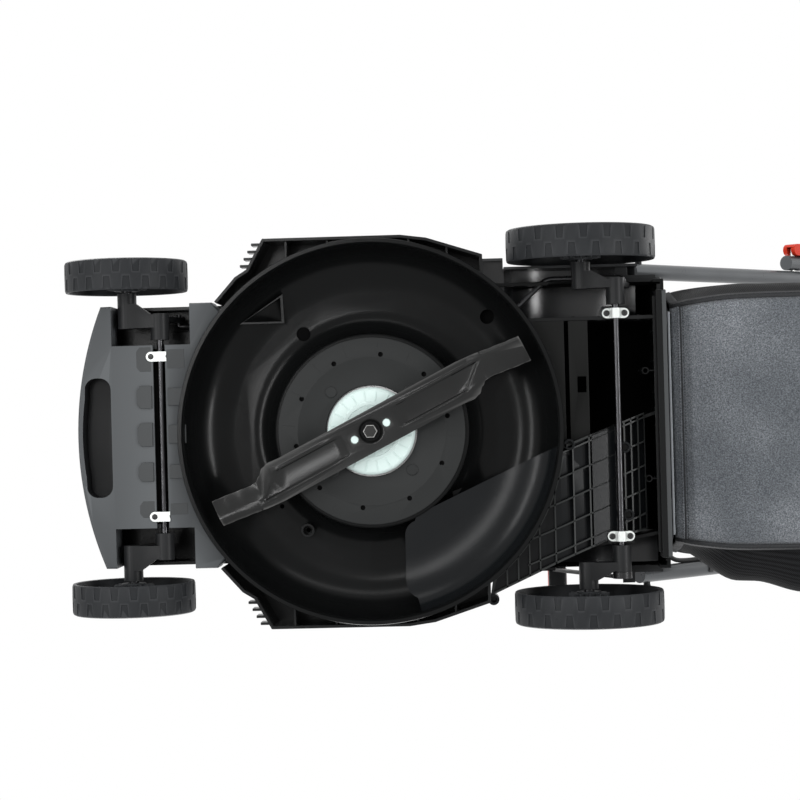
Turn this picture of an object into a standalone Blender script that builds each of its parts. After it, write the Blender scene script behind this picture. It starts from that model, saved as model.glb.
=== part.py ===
"""Cordless rotary lawn mower with a rear grass bag, about 40 cm cut.

Sizes are millimetres in this file and metres in the scene.  X runs forward, Y to the
operator's left and Z up.  Every place is given from the blade spindle on the ground, and
SHIFT then moves the whole machine so that its box is centred on the origin.
"""

import bpy
import bmesh
from math import atan2, ceil, cos, degrees, pi, radians, sin, sqrt
from mathutils import Matrix, Vector

MM = 0.001
FIT = 0.3                     # gap kept between neighbouring pieces

# Wheels, height cranks and axles
FRONT_WHEEL_R = 70.0
FRONT_WHEEL_X = 276.0
FRONT_WHEEL_IN = 165.0        # inner face from the centre line
FRONT_WHEEL_W = 36.0
REAR_WHEEL_R = 85.0
REAR_WHEEL_X = -243.0
REAR_WHEEL_IN = 187.5
REAR_WHEEL_W = 37.5
WHEEL_SIDES = 32              # a flat of the ring rests on the ground
CRANK_X = 38.0                # a wheel's axle lies this far ahead of its height rod
CRANK_Z = 7.0                 # and this far above it, at the height shown
CRANK_BOSS_R = 11.0
FRONT_BOSS_IN = 110.0         # where the front height rod's boss starts and ends
FRONT_BOSS_OUT = 140.0
FRONT_STUB_IN = 124.0
REAR_BOSS_IN = 137.0
REAR_BOSS_OUT = 167.0
REAR_STUB_IN = 156.0
LEVER_OUT = 4.4               # the height lever's plate stands this far off its crank
LEVER_T = 3.0
LINK_X = -14.0                # the link's pivot from a height rod
LINK_Z = 58.0
LINK_R = 2.9
ARM_IN = 9.0                  # the link arm's faces, in from the outer face of its boss
ARM_OUT = 3.0
ROD_R = 4.0
STUB_R = 6.0
STRAP_W = 12.0
STRAP_T = 1.6

# Cutting deck
RIM_Z = 38.0
DRUM_R = 216.0
WALL = 4.0
DECK_TOP = 116.0
HUB_R = 108.0
HUB_FLOOR = 79.0
SPINDLE_HOLE_R = 53.0
SKIRT_Y = 220.5
SKIRT_Z = 45.0
SKIRT_T = 3.5

# Front apron and the box above it
FRONT_X = 334.0
FRONT_BOW_R = 397.0
FRONT_HALF = 149.0
APRON_Z = 57.0
APRON_TOP = 99.7
FRONT_TOP = 145.0
WELL_FRONT = 293.0
WELL_REAR = 203.0
WELL_Y = 104.0
GRIP_SLOT_HALF = 62.0
GRIP_SLOT_FRONT = 326.0
GRIP_SLOT_REAR = 295.0

# Rear body, discharge tunnel and chute floor
REAR_X = -338.0
REAR_HALF = 166.0
REAR_TOP = 206.0
REAR_BOTTOM = 100.0
CHUTE_FLOOR_Z = 64.0
CHUTE_FLOOR_T = 3.0
CHUTE_RISE = 0.37
RAMP_X = -214.0
TUNNEL_LEFT = 14.0
TUNNEL_RIGHT = -122.0
BEAM_T = 11.0
BEAM_TOP = 102.0
BEAM_LOW = 72.0

# Motor and blade
BLADE_LENGTH = 395.0
BLADE_WIDTH = 46.0
BLADE_T = 3.2
BLADE_Z = 50.0
BLADE_ANGLE = 153.0
BLADE_HOLE_X = 20.5
SAIL_RISE = 10.0
DISC_R = 50.0
DISC_Z = 60.0
SHAFT_R = 8.0
BOLT_R = 5.0
BOLT_HEX_R = 8.3
MOTOR_PLATE_R = 107.0
MOTOR_R = 46.0
MOTOR_H = 84.0

# Hood and battery
HOOD_R = 207.0
HOOD_HALF = 159.0
HOOD_REAR = -118.0
HOOD_TOP = 268.0
HOOD_T = 3.5
BAY_FRONT = 92.0
BAY_REAR = -52.0
BAY_HALF = 62.0
BAY_DEPTH = 92.0
LID_H = 24.0
LID_T = 3.0
PACK_LENGTH = 116.0
PACK_WIDTH = 82.0
PACK_HEIGHT = 84.0

# Handle
TUBE_R = 9.5
LOWER_Y = 181.0
FOOT_X = -318.0
FOOT_Z = 205.0
HANDLE_ANGLE = 46.0
LOWER_LENGTH = 312.0
UPPER_LENGTH = 815.0
CORNER_R = 55.0
CAM_LENGTH = 62.0
CAM_R = 7.5
GRIP_R = 14.0
BAIL_LEAN = 26.0
CLAMP_HEAD = 4.0
CABLE_R = 2.8
CABLE_FOLD_GAP = 12.0          # each cable stops this far from the fold's axis

# Grass bag and flap
BAG_FRONT = -346.0
BAG_LENGTH = 455.0
BAG_LOW = 76.0
BAG_HIGH = 222.0
BAG_HALF_LOW = 147.0
BAG_HALF_HIGH = 164.0
BAG_T = 3.0
BAG_LID_H = 14.0
BAG_LID_T = 3.5
FLAP_X = -330.0
FLAP_Z = 226.0
FLAP_LENGTH = 96.0
FLAP_T = 3.5
FLAP_HALF = 150.0
SPRING_TURNS = 6
SPRING_R = 3.8
SPRING_WIRE_R = 0.8
SPRING_PITCH = 3.0

# Worked out from the sizes above
UPPER_Y = LOWER_Y + 2 * TUBE_R + 0.6
HANDLE_DIR = Vector((-cos(radians(HANDLE_ANGLE)), 0, sin(radians(HANDLE_ANGLE))))
LEVER_AXIS = Vector((HANDLE_DIR.z, 0, -HANDLE_DIR.x))
FOOT = Vector((FOOT_X, 0, FOOT_Z))
CLAMP = FOOT + HANDLE_DIR * LOWER_LENGTH
GRIP = CLAMP + HANDLE_DIR * UPPER_LENGTH
FRONT_ROD = Vector((FRONT_WHEEL_X - CRANK_X, 0, FRONT_WHEEL_R - CRANK_Z))
REAR_ROD = Vector((REAR_WHEEL_X - CRANK_X, 0, REAR_WHEEL_R - CRANK_Z))
FORE_MOST = max(FRONT_X, FRONT_WHEEL_X + FRONT_WHEEL_R)
AFT_MOST = min(GRIP.x - GRIP_R, BAG_FRONT - BAG_LENGTH)
SHIFT = Vector((-(FORE_MOST + AFT_MOST) / 2, 0, 0))

FINISHES = {
    "deck_plastic": ((0.035, 0.037, 0.040), 0.45, 0.0),
    "apron_plastic": ((0.070, 0.076, 0.080), 0.50, 0.0),
    "chute_plastic": ((0.040, 0.046, 0.054), 0.50, 0.0),
    "hood_plastic": ((0.045, 0.047, 0.050), 0.40, 0.0),
    "black_plastic": ((0.015, 0.015, 0.016), 0.45, 0.0),
    "orange_plastic": ((0.85, 0.16, 0.01), 0.35, 0.0),
    "white_plastic": ((0.72, 0.78, 0.74), 0.40, 0.0),
    "motor_grey": ((0.048, 0.050, 0.052), 0.55, 0.0),
    "tyre_plastic": ((0.018, 0.018, 0.019), 0.60, 0.0),
    "zinc_steel": ((0.62, 0.62, 0.60), 0.35, 1.0),
    "blade_steel": ((0.020, 0.020, 0.022), 0.38, 0.6),
    "handle_metal": ((0.40, 0.41, 0.42), 0.32, 0.9),
    "bag_fabric": ((0.090, 0.098, 0.115), 0.95, 0.0),
    "foam": ((0.012, 0.012, 0.012), 0.90, 0.0),
}


def clear_scene():
    for thing in list(bpy.data.objects):
        bpy.data.objects.remove(thing, do_unlink=True)


def finish_of(name):
    colour, roughness, metallic = FINISHES[name]
    material = bpy.data.materials.new(name)
    material.use_nodes = True
    shader = material.node_tree.nodes["Principled BSDF"]
    shader.inputs["Base Color"].default_value = (*colour, 1.0)
    shader.inputs["Roughness"].default_value = roughness
    shader.inputs["Metallic"].default_value = metallic
    return material


# Shapes.  Each returns a bmesh in millimetres, in the machine's own place.

def closed(shape):
    shape.normal_update()
    bmesh.ops.recalc_face_normals(shape, faces=shape.faces)
    return shape


def lofted(rings, capped=True):
    """Skin a list of rings with equal counts of points; caps close both ends."""
    shape = bmesh.new()
    rows = [[shape.verts.new(point) for point in ring] for ring in rings]
    count = len(rows[0])
    for lower, upper in zip(rows, rows[1:]):
        for i in range(count):
            j = (i + 1) % count
            shape.faces.new((lower[i], lower[j], upper[j], upper[i]))
    if capped:
        shape.faces.new(list(reversed(rows[0])))
        shape.faces.new(rows[-1])
    else:
        for i in range(count):
            j = (i + 1) % count
            shape.faces.new((rows[-1][i], rows[-1][j], rows[0][j], rows[0][i]))
    return closed(shape)


def prism(outline, low, high):
    return lofted([[(x, y, z) for x, y in outline] for z in (low, high)])


def side_prism(outline, right, left):
    return lofted([[(x, y, z) for x, z in outline] for y in (right, left)])


def block(x, y, z):
    return prism([(x[0], y[0]), (x[1], y[0]), (x[1], y[1]), (x[0], y[1])], z[0], z[1])


def rounded_top(shape, width, steps=2):
    """Round a prism's top rim."""
    top = max(vertex.co.z for vertex in shape.verts)
    rim = [e for e in shape.edges if all(abs(v.co.z - top) < 1e-6 for v in e.verts)]
    bmesh.ops.bevel(shape, geom=rim, offset=width, segments=steps, profile=0.5,
                    affect="EDGES", clamp_overlap=True)
    return closed(shape)


def rounded_block(x, y, z, radius, steps=2):
    shape = block(x, y, z)
    bmesh.ops.bevel(shape, geom=list(shape.edges), offset=radius, segments=steps,
                    profile=0.5, affect="EDGES", clamp_overlap=True)
    return closed(shape)


def turned(profile, steps=48, centre=(0, 0, 0), axis="Z"):
    """Turn a closed outline of (radius, height) points; a radius of 0 lies on the axis."""
    shape = bmesh.new()
    rows = []
    for radius, height in profile:
        if radius == 0:
            rows.append([shape.verts.new((0, 0, height))])
            continue
        rows.append([shape.verts.new((radius * cos(2 * pi * i / steps),
                                      radius * sin(2 * pi * i / steps), height))
                     for i in range(steps)])
    for first, second in zip(rows, rows[1:] + rows[:1]):
        for i in range(steps):
            j = (i + 1) % steps
            if len(first) == 1 and len(second) == 1:
                continue
            if len(first) == 1:
                shape.faces.new((first[0], second[i], second[j]))
            elif len(second) == 1:
                shape.faces.new((first[i], first[j], second[0]))
            else:
                shape.faces.new((first[i], first[j], second[j], second[i]))
    if axis == "Y":
        shape.transform(Matrix.Rotation(-pi / 2, 4, "X"))
    shape.transform(Matrix.Translation(centre))
    return closed(shape)


def drum(radius, low, high, steps=32, centre=(0, 0)):
    return turned([(0, low), (radius, low), (radius, high), (0, high)], steps,
                  (centre[0], centre[1], 0))


def cross_pin(x, z, right, left, radius, steps=16):
    """A cylinder along Y."""
    return turned([(0, right), (radius, right), (radius, left), (0, left)], steps,
                  (x, 0, z), "Y")


def pipe(points, radius, sides=8):
    """A round bar swept along points, its frame carried along without twist."""
    points = [Vector(point) for point in points]
    rings = []
    normal = None
    for i, point in enumerate(points):
        before = points[max(i - 1, 0)]
        after = points[min(i + 1, len(points) - 1)]
        along = (after - before).normalized()
        if normal is None:
            normal = along.orthogonal().normalized()
        normal = (normal - along * normal.dot(along)).normalized()
        side = along.cross(normal)
        stretch = 1.0
        if 0 < i < len(points) - 1:
            turn = (point - before).angle(after - point)
            stretch = 1 / cos(turn / 2)
        outward = (points[i] - before).normalized() - (after - point).normalized() \
            if 0 < i < len(points) - 1 else Vector((0, 0, 0))
        ring = []
        for k in range(sides):
            angle = 2 * pi * k / sides
            reach = normal * cos(angle) + side * sin(angle)
            if outward.length > 1e-6:
                bend = outward.normalized()
                reach = reach + bend * reach.dot(bend) * (stretch - 1)
            ring.append(point + reach * radius)
        rings.append(ring)
    return lofted(rings)


def smooth_route(corners, spacing):
    """Points along a smooth curve through the corners."""
    corners = [Vector(corner) for corner in corners]
    padded = [corners[0] * 2 - corners[1], *corners, corners[-1] * 2 - corners[-2]]
    route = []
    for a, b, c, d in zip(padded, padded[1:], padded[2:], padded[3:]):
        steps = max(1, ceil((c - b).length / spacing))
        for i in range(steps):
            t = i / steps
            route.append(((b * 2) + (c - a) * t + (a * 2 - b * 5 + c * 4 - d) * t * t
                          + (b * 3 - a - c * 3 + d) * t ** 3) / 2)
    route.append(corners[-1])
    return route


def arc(centre, radius, start, end, steps):
    """Plan points of an arc; angles in degrees."""
    return [(centre[0] + radius * cos(radians(start + (end - start) * i / steps)),
             centre[1] + radius * sin(radians(start + (end - start) * i / steps)))
            for i in range(steps + 1)]


def joined(*shapes):
    whole = bmesh.new()
    for shape in shapes:
        piece = bpy.data.meshes.new("piece")
        shape.to_mesh(piece)
        whole.from_mesh(piece)
        bpy.data.meshes.remove(piece)
        shape.free()
    return whole


def mirrored(shape):
    """The same shape on the operator's right."""
    twin = shape.copy()
    twin.transform(Matrix.Scale(-1, 4, (0, 1, 0)))
    return closed(twin)


def both_sides(shape):
    return joined(shape, mirrored(shape))


def capsule(start, end, radius, right, left, steps=8):
    """A link plate along Y with round ends about two (x, z) centres."""
    lean = atan2(end[1] - start[1], end[0] - start[0])
    outline = []
    for centre, first in ((start, lean + pi / 2), (end, lean - pi / 2)):
        for i in range(steps + 1):
            angle = first + pi * i / steps
            outline.append((centre[0] + radius * cos(angle), centre[1] + radius * sin(angle)))
    return side_prism(outline, right, left)


def wall_along(path, thickness, low, high):
    """An upright wall whose outer face follows a plan path, its body on the inside."""
    inner = []
    for i, point in enumerate(path):
        before = Vector(path[max(i - 1, 0)])
        after = Vector(path[min(i + 1, len(path) - 1)])
        here = Vector(point)
        first = (here - before) if i else (after - here)
        second = (after - here) if i < len(path) - 1 else first
        first = first.normalized()
        second = second.normalized()
        normal = Vector((-first.y, first.x)) + Vector((-second.y, second.x))
        normal = normal.normalized() / cos(first.angle(second) / 2)
        inner.append(tuple(here + normal * thickness))
    return prism(list(path) + inner[::-1], low, high)


# Objects

def part(name, shape, finish, origin=(0, 0, 0), smooth=35):
    """Make a node: its mesh in the machine's place, its origin on its own axis."""
    shape.transform(Matrix.Translation(-Vector(origin)))
    shape.transform(Matrix.Scale(MM, 4))
    mesh = bpy.data.meshes.new(name)
    shape.to_mesh(mesh)
    shape.free()
    mesh.shade_smooth()
    mesh.set_sharp_from_angle(angle=radians(smooth))
    thing = bpy.data.objects.new(name, mesh)
    thing.location = (Vector(origin) + SHIFT) * MM
    bpy.context.collection.objects.link(thing)
    mesh.materials.append(finish_of(finish))
    return thing


def helper(owner, shape):
    thing = part(f"{owner.name}_tool_{len(owner.modifiers)}", shape, "black_plastic")
    thing.hide_render = True
    thing.display_type = "WIRE"
    return thing


def combine(owner, shape, operation):
    """Cut, add or keep a shape with a Boolean, and return the tool object."""
    tool = helper(owner, shape)
    step = owner.modifiers.new(operation.lower(), "BOOLEAN")
    step.operation = operation
    step.object = tool
    step.solver = "EXACT"
    return tool


def cut(owner, shape):
    return combine(owner, shape, "DIFFERENCE")


def fuse(owner, shape):
    return combine(owner, shape, "UNION")


# Plan outlines of the body

def front_bow(inset, half, steps=12):
    """The bowed front edge from the right side to the left, as plan points."""
    radius = FRONT_BOW_R - inset
    centre = FRONT_X - FRONT_BOW_R
    reach = degrees(atan2(half, sqrt(radius ** 2 - half ** 2)))
    return arc((centre, 0), radius, -reach, reach, steps)


def around_drum(radius, half, steps=12):
    """The drum's front arc from the left side to the right."""
    reach = degrees(atan2(half, sqrt(radius ** 2 - half ** 2)))
    return arc((0, 0), radius, reach, -reach, steps)


def skirt_path():
    """The left skirt's outer line, from its front end to its rear."""
    return [(173, 151), (149, 178), (136, 186), (117, SKIRT_Y), (-39, SKIRT_Y),
            (-68, SKIRT_Y - 4), (-131, 196), (-131, 172)]


def make_deck():
    inner = DRUM_R - WALL - 2
    roof = DECK_TOP - WALL
    profile = [(DRUM_R, RIM_Z), (DRUM_R, DECK_TOP), (HUB_R - WALL, DECK_TOP),
               (HUB_R - WALL, HUB_FLOOR + WALL), (SPINDLE_HOLE_R, HUB_FLOOR + WALL),
               (SPINDLE_HOLE_R, HUB_FLOOR), (HUB_R + 2, HUB_FLOOR), (HUB_R + 5, roof - 12),
               (HUB_R + 13, roof - 4), (HUB_R + 27, roof), (inner - 24, roof),
               (inner - 9, roof - 5), (inner, roof - 17), (inner, RIM_Z)]
    deck = part("deck_housing", turned(profile, 60), "deck_plastic")

    path = skirt_path()
    flange = prism(path + [(x, -y) for x, y in reversed(path)], DECK_TOP - WALL + 0.4,
                   DECK_TOP - 0.4)
    tool = fuse(deck, flange)
    cut(tool, drum(inner + 2, RIM_Z, DECK_TOP + 5, 60))

    fuse(deck, both_sides(wall_along(path, SKIRT_T, SKIRT_Z, DECK_TOP - 2)))
    fuse(deck, both_sides(make_ribs()))
    fuse(deck, both_sides(make_comb()))

    bow = front_bow(0, FRONT_HALF)
    outer = bow + around_drum(DRUM_R - 3, FRONT_HALF)
    tool = fuse(deck, rounded_top(prism(outer, APRON_TOP + FIT, FRONT_TOP), 7))
    hollow = front_bow(WALL - 0.5, FRONT_HALF - WALL) + around_drum(DRUM_R + WALL,
                                                                   FRONT_HALF - WALL)
    cut(tool, prism(hollow, APRON_TOP - 5, FRONT_TOP - WALL))

    make_rear_body(deck, inner)
    for slot in link_slot():
        cut(deck, slot)
    return deck


def make_ribs():
    """The ribs that tie the left skirt to the drum."""
    pieces = []
    for x in (91, 44, -48, -91):
        reach = SKIRT_Y - 1.5 if x > -68 else SKIRT_Y - 11
        pieces.append(block((x - 1.3, x + 1.3), (sqrt(DRUM_R ** 2 - x ** 2) - 2.5, reach),
                            (SKIRT_Z + 6, DECK_TOP - 3)))
    return joined(*pieces)


def make_comb():
    """The short teeth on the left skirt's slanting front end."""
    teeth = []
    for i in range(4):
        y = 190 + 8 * i
        x = 117 + (SKIRT_Y - y) * 0.55
        teeth.append(block((x - 3, x + 9), (y - 1.8, y + 1.8), (SKIRT_Z + 0.5, SKIRT_Z + 22)))
    return joined(*teeth)


def make_rear_body(deck, inner):
    """The rear block, its walls underneath and the discharge tunnel through it."""
    front = -122.0
    roof = [(front, DECK_TOP - 3), (front - 4, 182), (front - 24, REAR_TOP),
            (-300, REAR_TOP), (REAR_X + 6, REAR_TOP - 6), (REAR_X, REAR_TOP - 16)]
    outer = [(front, REAR_BOTTOM), *roof, (REAR_X, REAR_BOTTOM)]
    body = part("rear_block", side_prism(outer, -REAR_HALF, REAR_HALF), "deck_plastic")
    body.hide_render = True
    body.display_type = "WIRE"
    hollow = [(front - 5, REAR_BOTTOM - 5), (front - 5, DECK_TOP - 6), (front - 8, 180),
              (front - 26, REAR_TOP - WALL), (-299, REAR_TOP - WALL),
              (REAR_X + 8, REAR_TOP - 11), (REAR_X + WALL, REAR_TOP - 19),
              (REAR_X + WALL, REAR_BOTTOM - 5)]
    cut(body, side_prism(hollow, -REAR_HALF + WALL, REAR_HALF - WALL))
    cut(body, drum(inner + 2, RIM_Z, 230, 60))
    wells = block((-326, -206), (REAR_HALF - 14, REAR_HALF + 8), (REAR_BOTTOM - 8, 152))
    cut(body, both_sides(wells))

    step = deck.modifiers.new("union", "BOOLEAN")
    step.operation = "UNION"
    step.object = body
    step.solver = "EXACT"

    top = REAR_TOP - 2
    rear = REAR_X + 2
    plates = [
        # tunnel's left wall, tunnel's right wall and the wall beside the left axle clip
        prism([(-204, -31), (rear, TUNNEL_LEFT), (rear, TUNNEL_LEFT + 4), (-204, -27)],
              CHUTE_FLOOR_Z + 45, top),
        prism([(-138, -160), (rear, TUNNEL_RIGHT - 4), (rear, TUNNEL_RIGHT), (-138, -156)],
              CHUTE_FLOOR_Z + 45, top),
        block((REAR_X + BEAM_T + WALL + 3, -180), (119, 123), (88, top)),
    ]
    for plate in plates:
        fuse(deck, plate)
    for side in (1, -1):
        ends = sorted((side * 121, side * 135))
        seat = block((REAR_ROD.x - 15, REAR_ROD.x + 15), ends,
                     (REAR_ROD.z + ROD_R + FIT, 140))
        fuse(deck, seat)
    fuse(deck, prism([(-200, -26), (-256, -10), (-256, 121), (-180, 121)], 84, 88))
    cut(deck, joined(block((-244, -234), (46, 60), (80, 92))))
    for side in (1, -1):
        ends = sorted((side * 121, side * 135))
        fuse(deck, block((REAR_ROD.x - 15, REAR_ROD.x - 7), ends, (139, REAR_TOP - 2)))

    low = CHUTE_FLOOR_Z - 2 * FIT
    mouth = REAR_X - 4
    lift = (RAMP_X - mouth) * CHUTE_RISE
    shelf = [(-90, -50), (-96, -176), (-134, -166), (RAMP_X - 2, -140), (RAMP_X - 2, -31)]
    cut(deck, lofted([[(x, y, low) for x, y in shelf],
                      [(x, y, DECK_TOP - 10) for x, y in shelf]]))
    ramp = [(RAMP_X + 1, -141), (mouth, TUNNEL_RIGHT + 1), (mouth, TUNNEL_LEFT - 1),
            (RAMP_X + 1, -30)]
    cut(deck, lofted([[(x, y, low + (lift if x < RAMP_X - 9 else 0)) for x, y in ramp],
                      [(x, y, REAR_TOP - 22 if x < RAMP_X - 9 else DECK_TOP - 10)
                       for x, y in ramp]]))


def link_slot():
    """Where the height link passes through the walls above the deck."""
    front = block((140, 240), (122.5, 134), (DECK_TOP + 1, FRONT_TOP - WALL + 1.5))
    fore = block((170.5, 240), (122.5, 134), (DECK_TOP - 8, DECK_TOP + 5))
    rear = block((-215, -110), (123.5, 190), (DECK_TOP + 1, 152))
    return joined(front, rear), fore


def make_apron():
    """Front underside moulding: a tray with the carrying slot and two crank wells."""
    rear_half = FRONT_HALF + 2
    rear = around_drum(DRUM_R + 2, FRONT_HALF - 10)
    lobe = [(WELL_REAR, rear_half), (178, rear_half)]
    outline = front_bow(0, FRONT_HALF) + lobe + rear + [(x, -y) for x, y in lobe[::-1]]
    apron = part("front_apron", prism(outline, APRON_Z, APRON_TOP), "apron_plastic")
    hollow = front_bow(WALL, FRONT_HALF - WALL) + around_drum(DRUM_R + 2 + WALL,
                                                             FRONT_HALF - 13)
    cut(apron, prism(hollow, APRON_Z + WALL, APRON_TOP + 5))
    lining = block((WELL_REAR - WALL, WELL_FRONT + WALL), (WELL_Y - WALL, FRONT_HALF - 1),
                   (APRON_Z + 1, APRON_TOP - 1))
    fuse(apron, both_sides(lining))
    well = block((WELL_REAR, WELL_FRONT), (WELL_Y, FRONT_HALF + 10),
                 (APRON_Z - 5, APRON_TOP + 5))
    cut(apron, both_sides(well))
    x = FRONT_ROD.x
    saddles = block((x - 16, x + 16), (82, 100.5), (APRON_Z + 2, FRONT_ROD.z + 16))
    fuse(apron, both_sides(saddles))
    slot = prism([(x - 6, -WELL_Y - 5), (x + 8, -WELL_Y - 5), (x + 8, WELL_Y + 5),
                  (x - 6, WELL_Y + 5)], APRON_Z - 5, FRONT_ROD.z + ROD_R + FIT)
    cut(apron, slot)
    half = GRIP_SLOT_HALF
    bow = (GRIP_SLOT_FRONT - GRIP_SLOT_REAR) / 2
    grip = arc((GRIP_SLOT_REAR + 3, -half + 14), 14, 180, 270, 3)
    grip += [(GRIP_SLOT_FRONT - 14, -half + 10)] + [(GRIP_SLOT_FRONT - 4, -half / 2 - 6)]
    grip += [(GRIP_SLOT_FRONT, -bow / 2)]
    grip = grip + [(x_, -y_) for x_, y_ in reversed(grip)]
    cut(apron, prism(grip, APRON_Z - 5, APRON_Z + WALL + 5))
    pads = [block((x + 12, 285), (y - 10, y + 10), (APRON_Z - 1.4, APRON_Z + 1))
            for y in (-68, -40, 0, 40, 68)]
    fuse(apron, joined(*pads))
    return apron


def make_chute_floor():
    """Floor of the discharge tunnel: a shelf in the drum and a ribbed ramp behind it."""
    def height(x):
        return CHUTE_FLOOR_Z + max(0, RAMP_X - x) * CHUTE_RISE

    left = [(RAMP_X, -31.5), (-312, 6)]
    right = [(-133, -161), (RAMP_X, -136), (-262, -118), (-312, -117)]
    shelf = [left[0], (-49, -97), (-37, -112), (-33, -126), (-36, -171), (-46, -186),
             (-60, -192), *right[:2]]
    floor = part("chute_floor", prism(shelf, CHUTE_FLOOR_Z, CHUTE_FLOOR_Z + CHUTE_FLOOR_T),
                 "chute_plastic")
    ramp = [(RAMP_X + 2, -33), left[1], *right[:1:-1], (RAMP_X + 2, -136)]
    fuse(floor, lofted([[(x, y, height(x) + lift) for x, y in ramp]
                        for lift in (0, CHUTE_FLOOR_T)]))
    for x in (-226, -246, -262):
        share = (RAMP_X - x) / (RAMP_X - left[1][0])
        near = left[0][1] + (left[1][1] - left[0][1]) * share - 4
        far = right[1][1] + (right[2][1] - right[1][1]) * (RAMP_X - x) / (RAMP_X + 262) + 4
        fuse(floor, block((x - 1, x + 1), (far, near), (height(x) - 7, height(x) + 1)))
    return floor


def make_rear_beam():
    x = (REAR_X + 0.5, REAR_X + 0.5 + BEAM_T)
    beam = part("rear_beam", rounded_block(x, (-152, 152), (BEAM_LOW, REAR_BOTTOM - FIT), 2, 1),
                "black_plastic")
    return beam


def make_motor():
    plate = part("motor_plate",
                 turned([(SPINDLE_HOLE_R - 1.5, HUB_FLOOR - 4.3), (MOTOR_PLATE_R, HUB_FLOOR - 4.3),
                         (MOTOR_PLATE_R, HUB_FLOOR - FIT), (SPINDLE_HOLE_R - 1.5, HUB_FLOOR - FIT)],
                        44), "motor_grey")
    bosses = [drum(7, HUB_FLOOR - 6, HUB_FLOOR - 2, 8,
                   (64 * cos(radians(45 + 90 * i)), 64 * sin(radians(45 + 90 * i))))
              for i in range(4)]
    fuse(plate, joined(*bosses))
    holes = [drum(2.5, HUB_FLOOR - 10, HUB_FLOOR + 5, 6,
                  (88 * cos(radians(170 + 36 * i)), 88 * sin(radians(170 + 36 * i))))
             for i in range(10)]
    cut(plate, joined(*holes))

    low = HUB_FLOOR + WALL + FIT
    part("motor_can", turned([(SHAFT_R + FIT, low), (MOTOR_R + 16, low), (MOTOR_R + 16, low + 8),
                              (MOTOR_R, low + 8), (MOTOR_R, low + MOTOR_H - 4),
                              (MOTOR_R - 4, low + MOTOR_H), (SHAFT_R + FIT, low + MOTOR_H)], 28),
         "motor_grey")
    bottom = BLADE_Z + BLADE_T + FIT
    top = low + MOTOR_H - 6
    part("motor_shaft", turned([(BOLT_R + FIT, bottom), (SHAFT_R, bottom), (SHAFT_R, top),
                                (0, top), (0, bottom + 24), (BOLT_R + FIT, bottom + 24)], 20),
         "zinc_steel")
    disc = [(SHAFT_R + FIT, DISC_Z), (18, DISC_Z), (20, DISC_Z + 4), (29, DISC_Z + 4),
            (31, DISC_Z + 1), (34, DISC_Z + 1), (36, DISC_Z + 4), (DISC_R - 3, DISC_Z + 4),
            (DISC_R, DISC_Z + 7), (DISC_R, DISC_Z + 13), (SHAFT_R + FIT, DISC_Z + 13)]
    white = part("spindle_disc", turned(disc, 32), "white_plastic")
    ribs = []
    for i in range(4):
        rib = block((21, DISC_R - 4), (-1, 1), (DISC_Z + 1.5, DISC_Z + 5))
        rib.transform(Matrix.Rotation(radians(BLADE_ANGLE + 92 + 90 * i), 4, "Z"))
        ribs.append(rib)
    fuse(white, joined(*ribs))


def blade_edge(u):
    """Trailing and leading edge of the blade at a distance from its centre."""
    wide = BLADE_WIDTH / 2
    tip = BLADE_LENGTH / 2
    stations = [(0, -wide, wide), (0.54 * tip, -wide, wide), (0.60 * tip, -wide, wide + 1),
                (0.67 * tip, -wide + 1.5, 0.83 * wide), (0.72 * tip, -wide + 2.5, 0.48 * wide),
                (0.86 * tip, -wide + 5, 0.58 * wide), (tip, -wide + 8, 0.70 * wide)]
    for (a, low_a, high_a), (b, low_b, high_b) in zip(stations, stations[1:]):
        if u <= b:
            t = (u - a) / (b - a)
            return low_a + (low_b - low_a) * t, high_a + (high_b - high_a) * t
    return stations[-1][1:]


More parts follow.
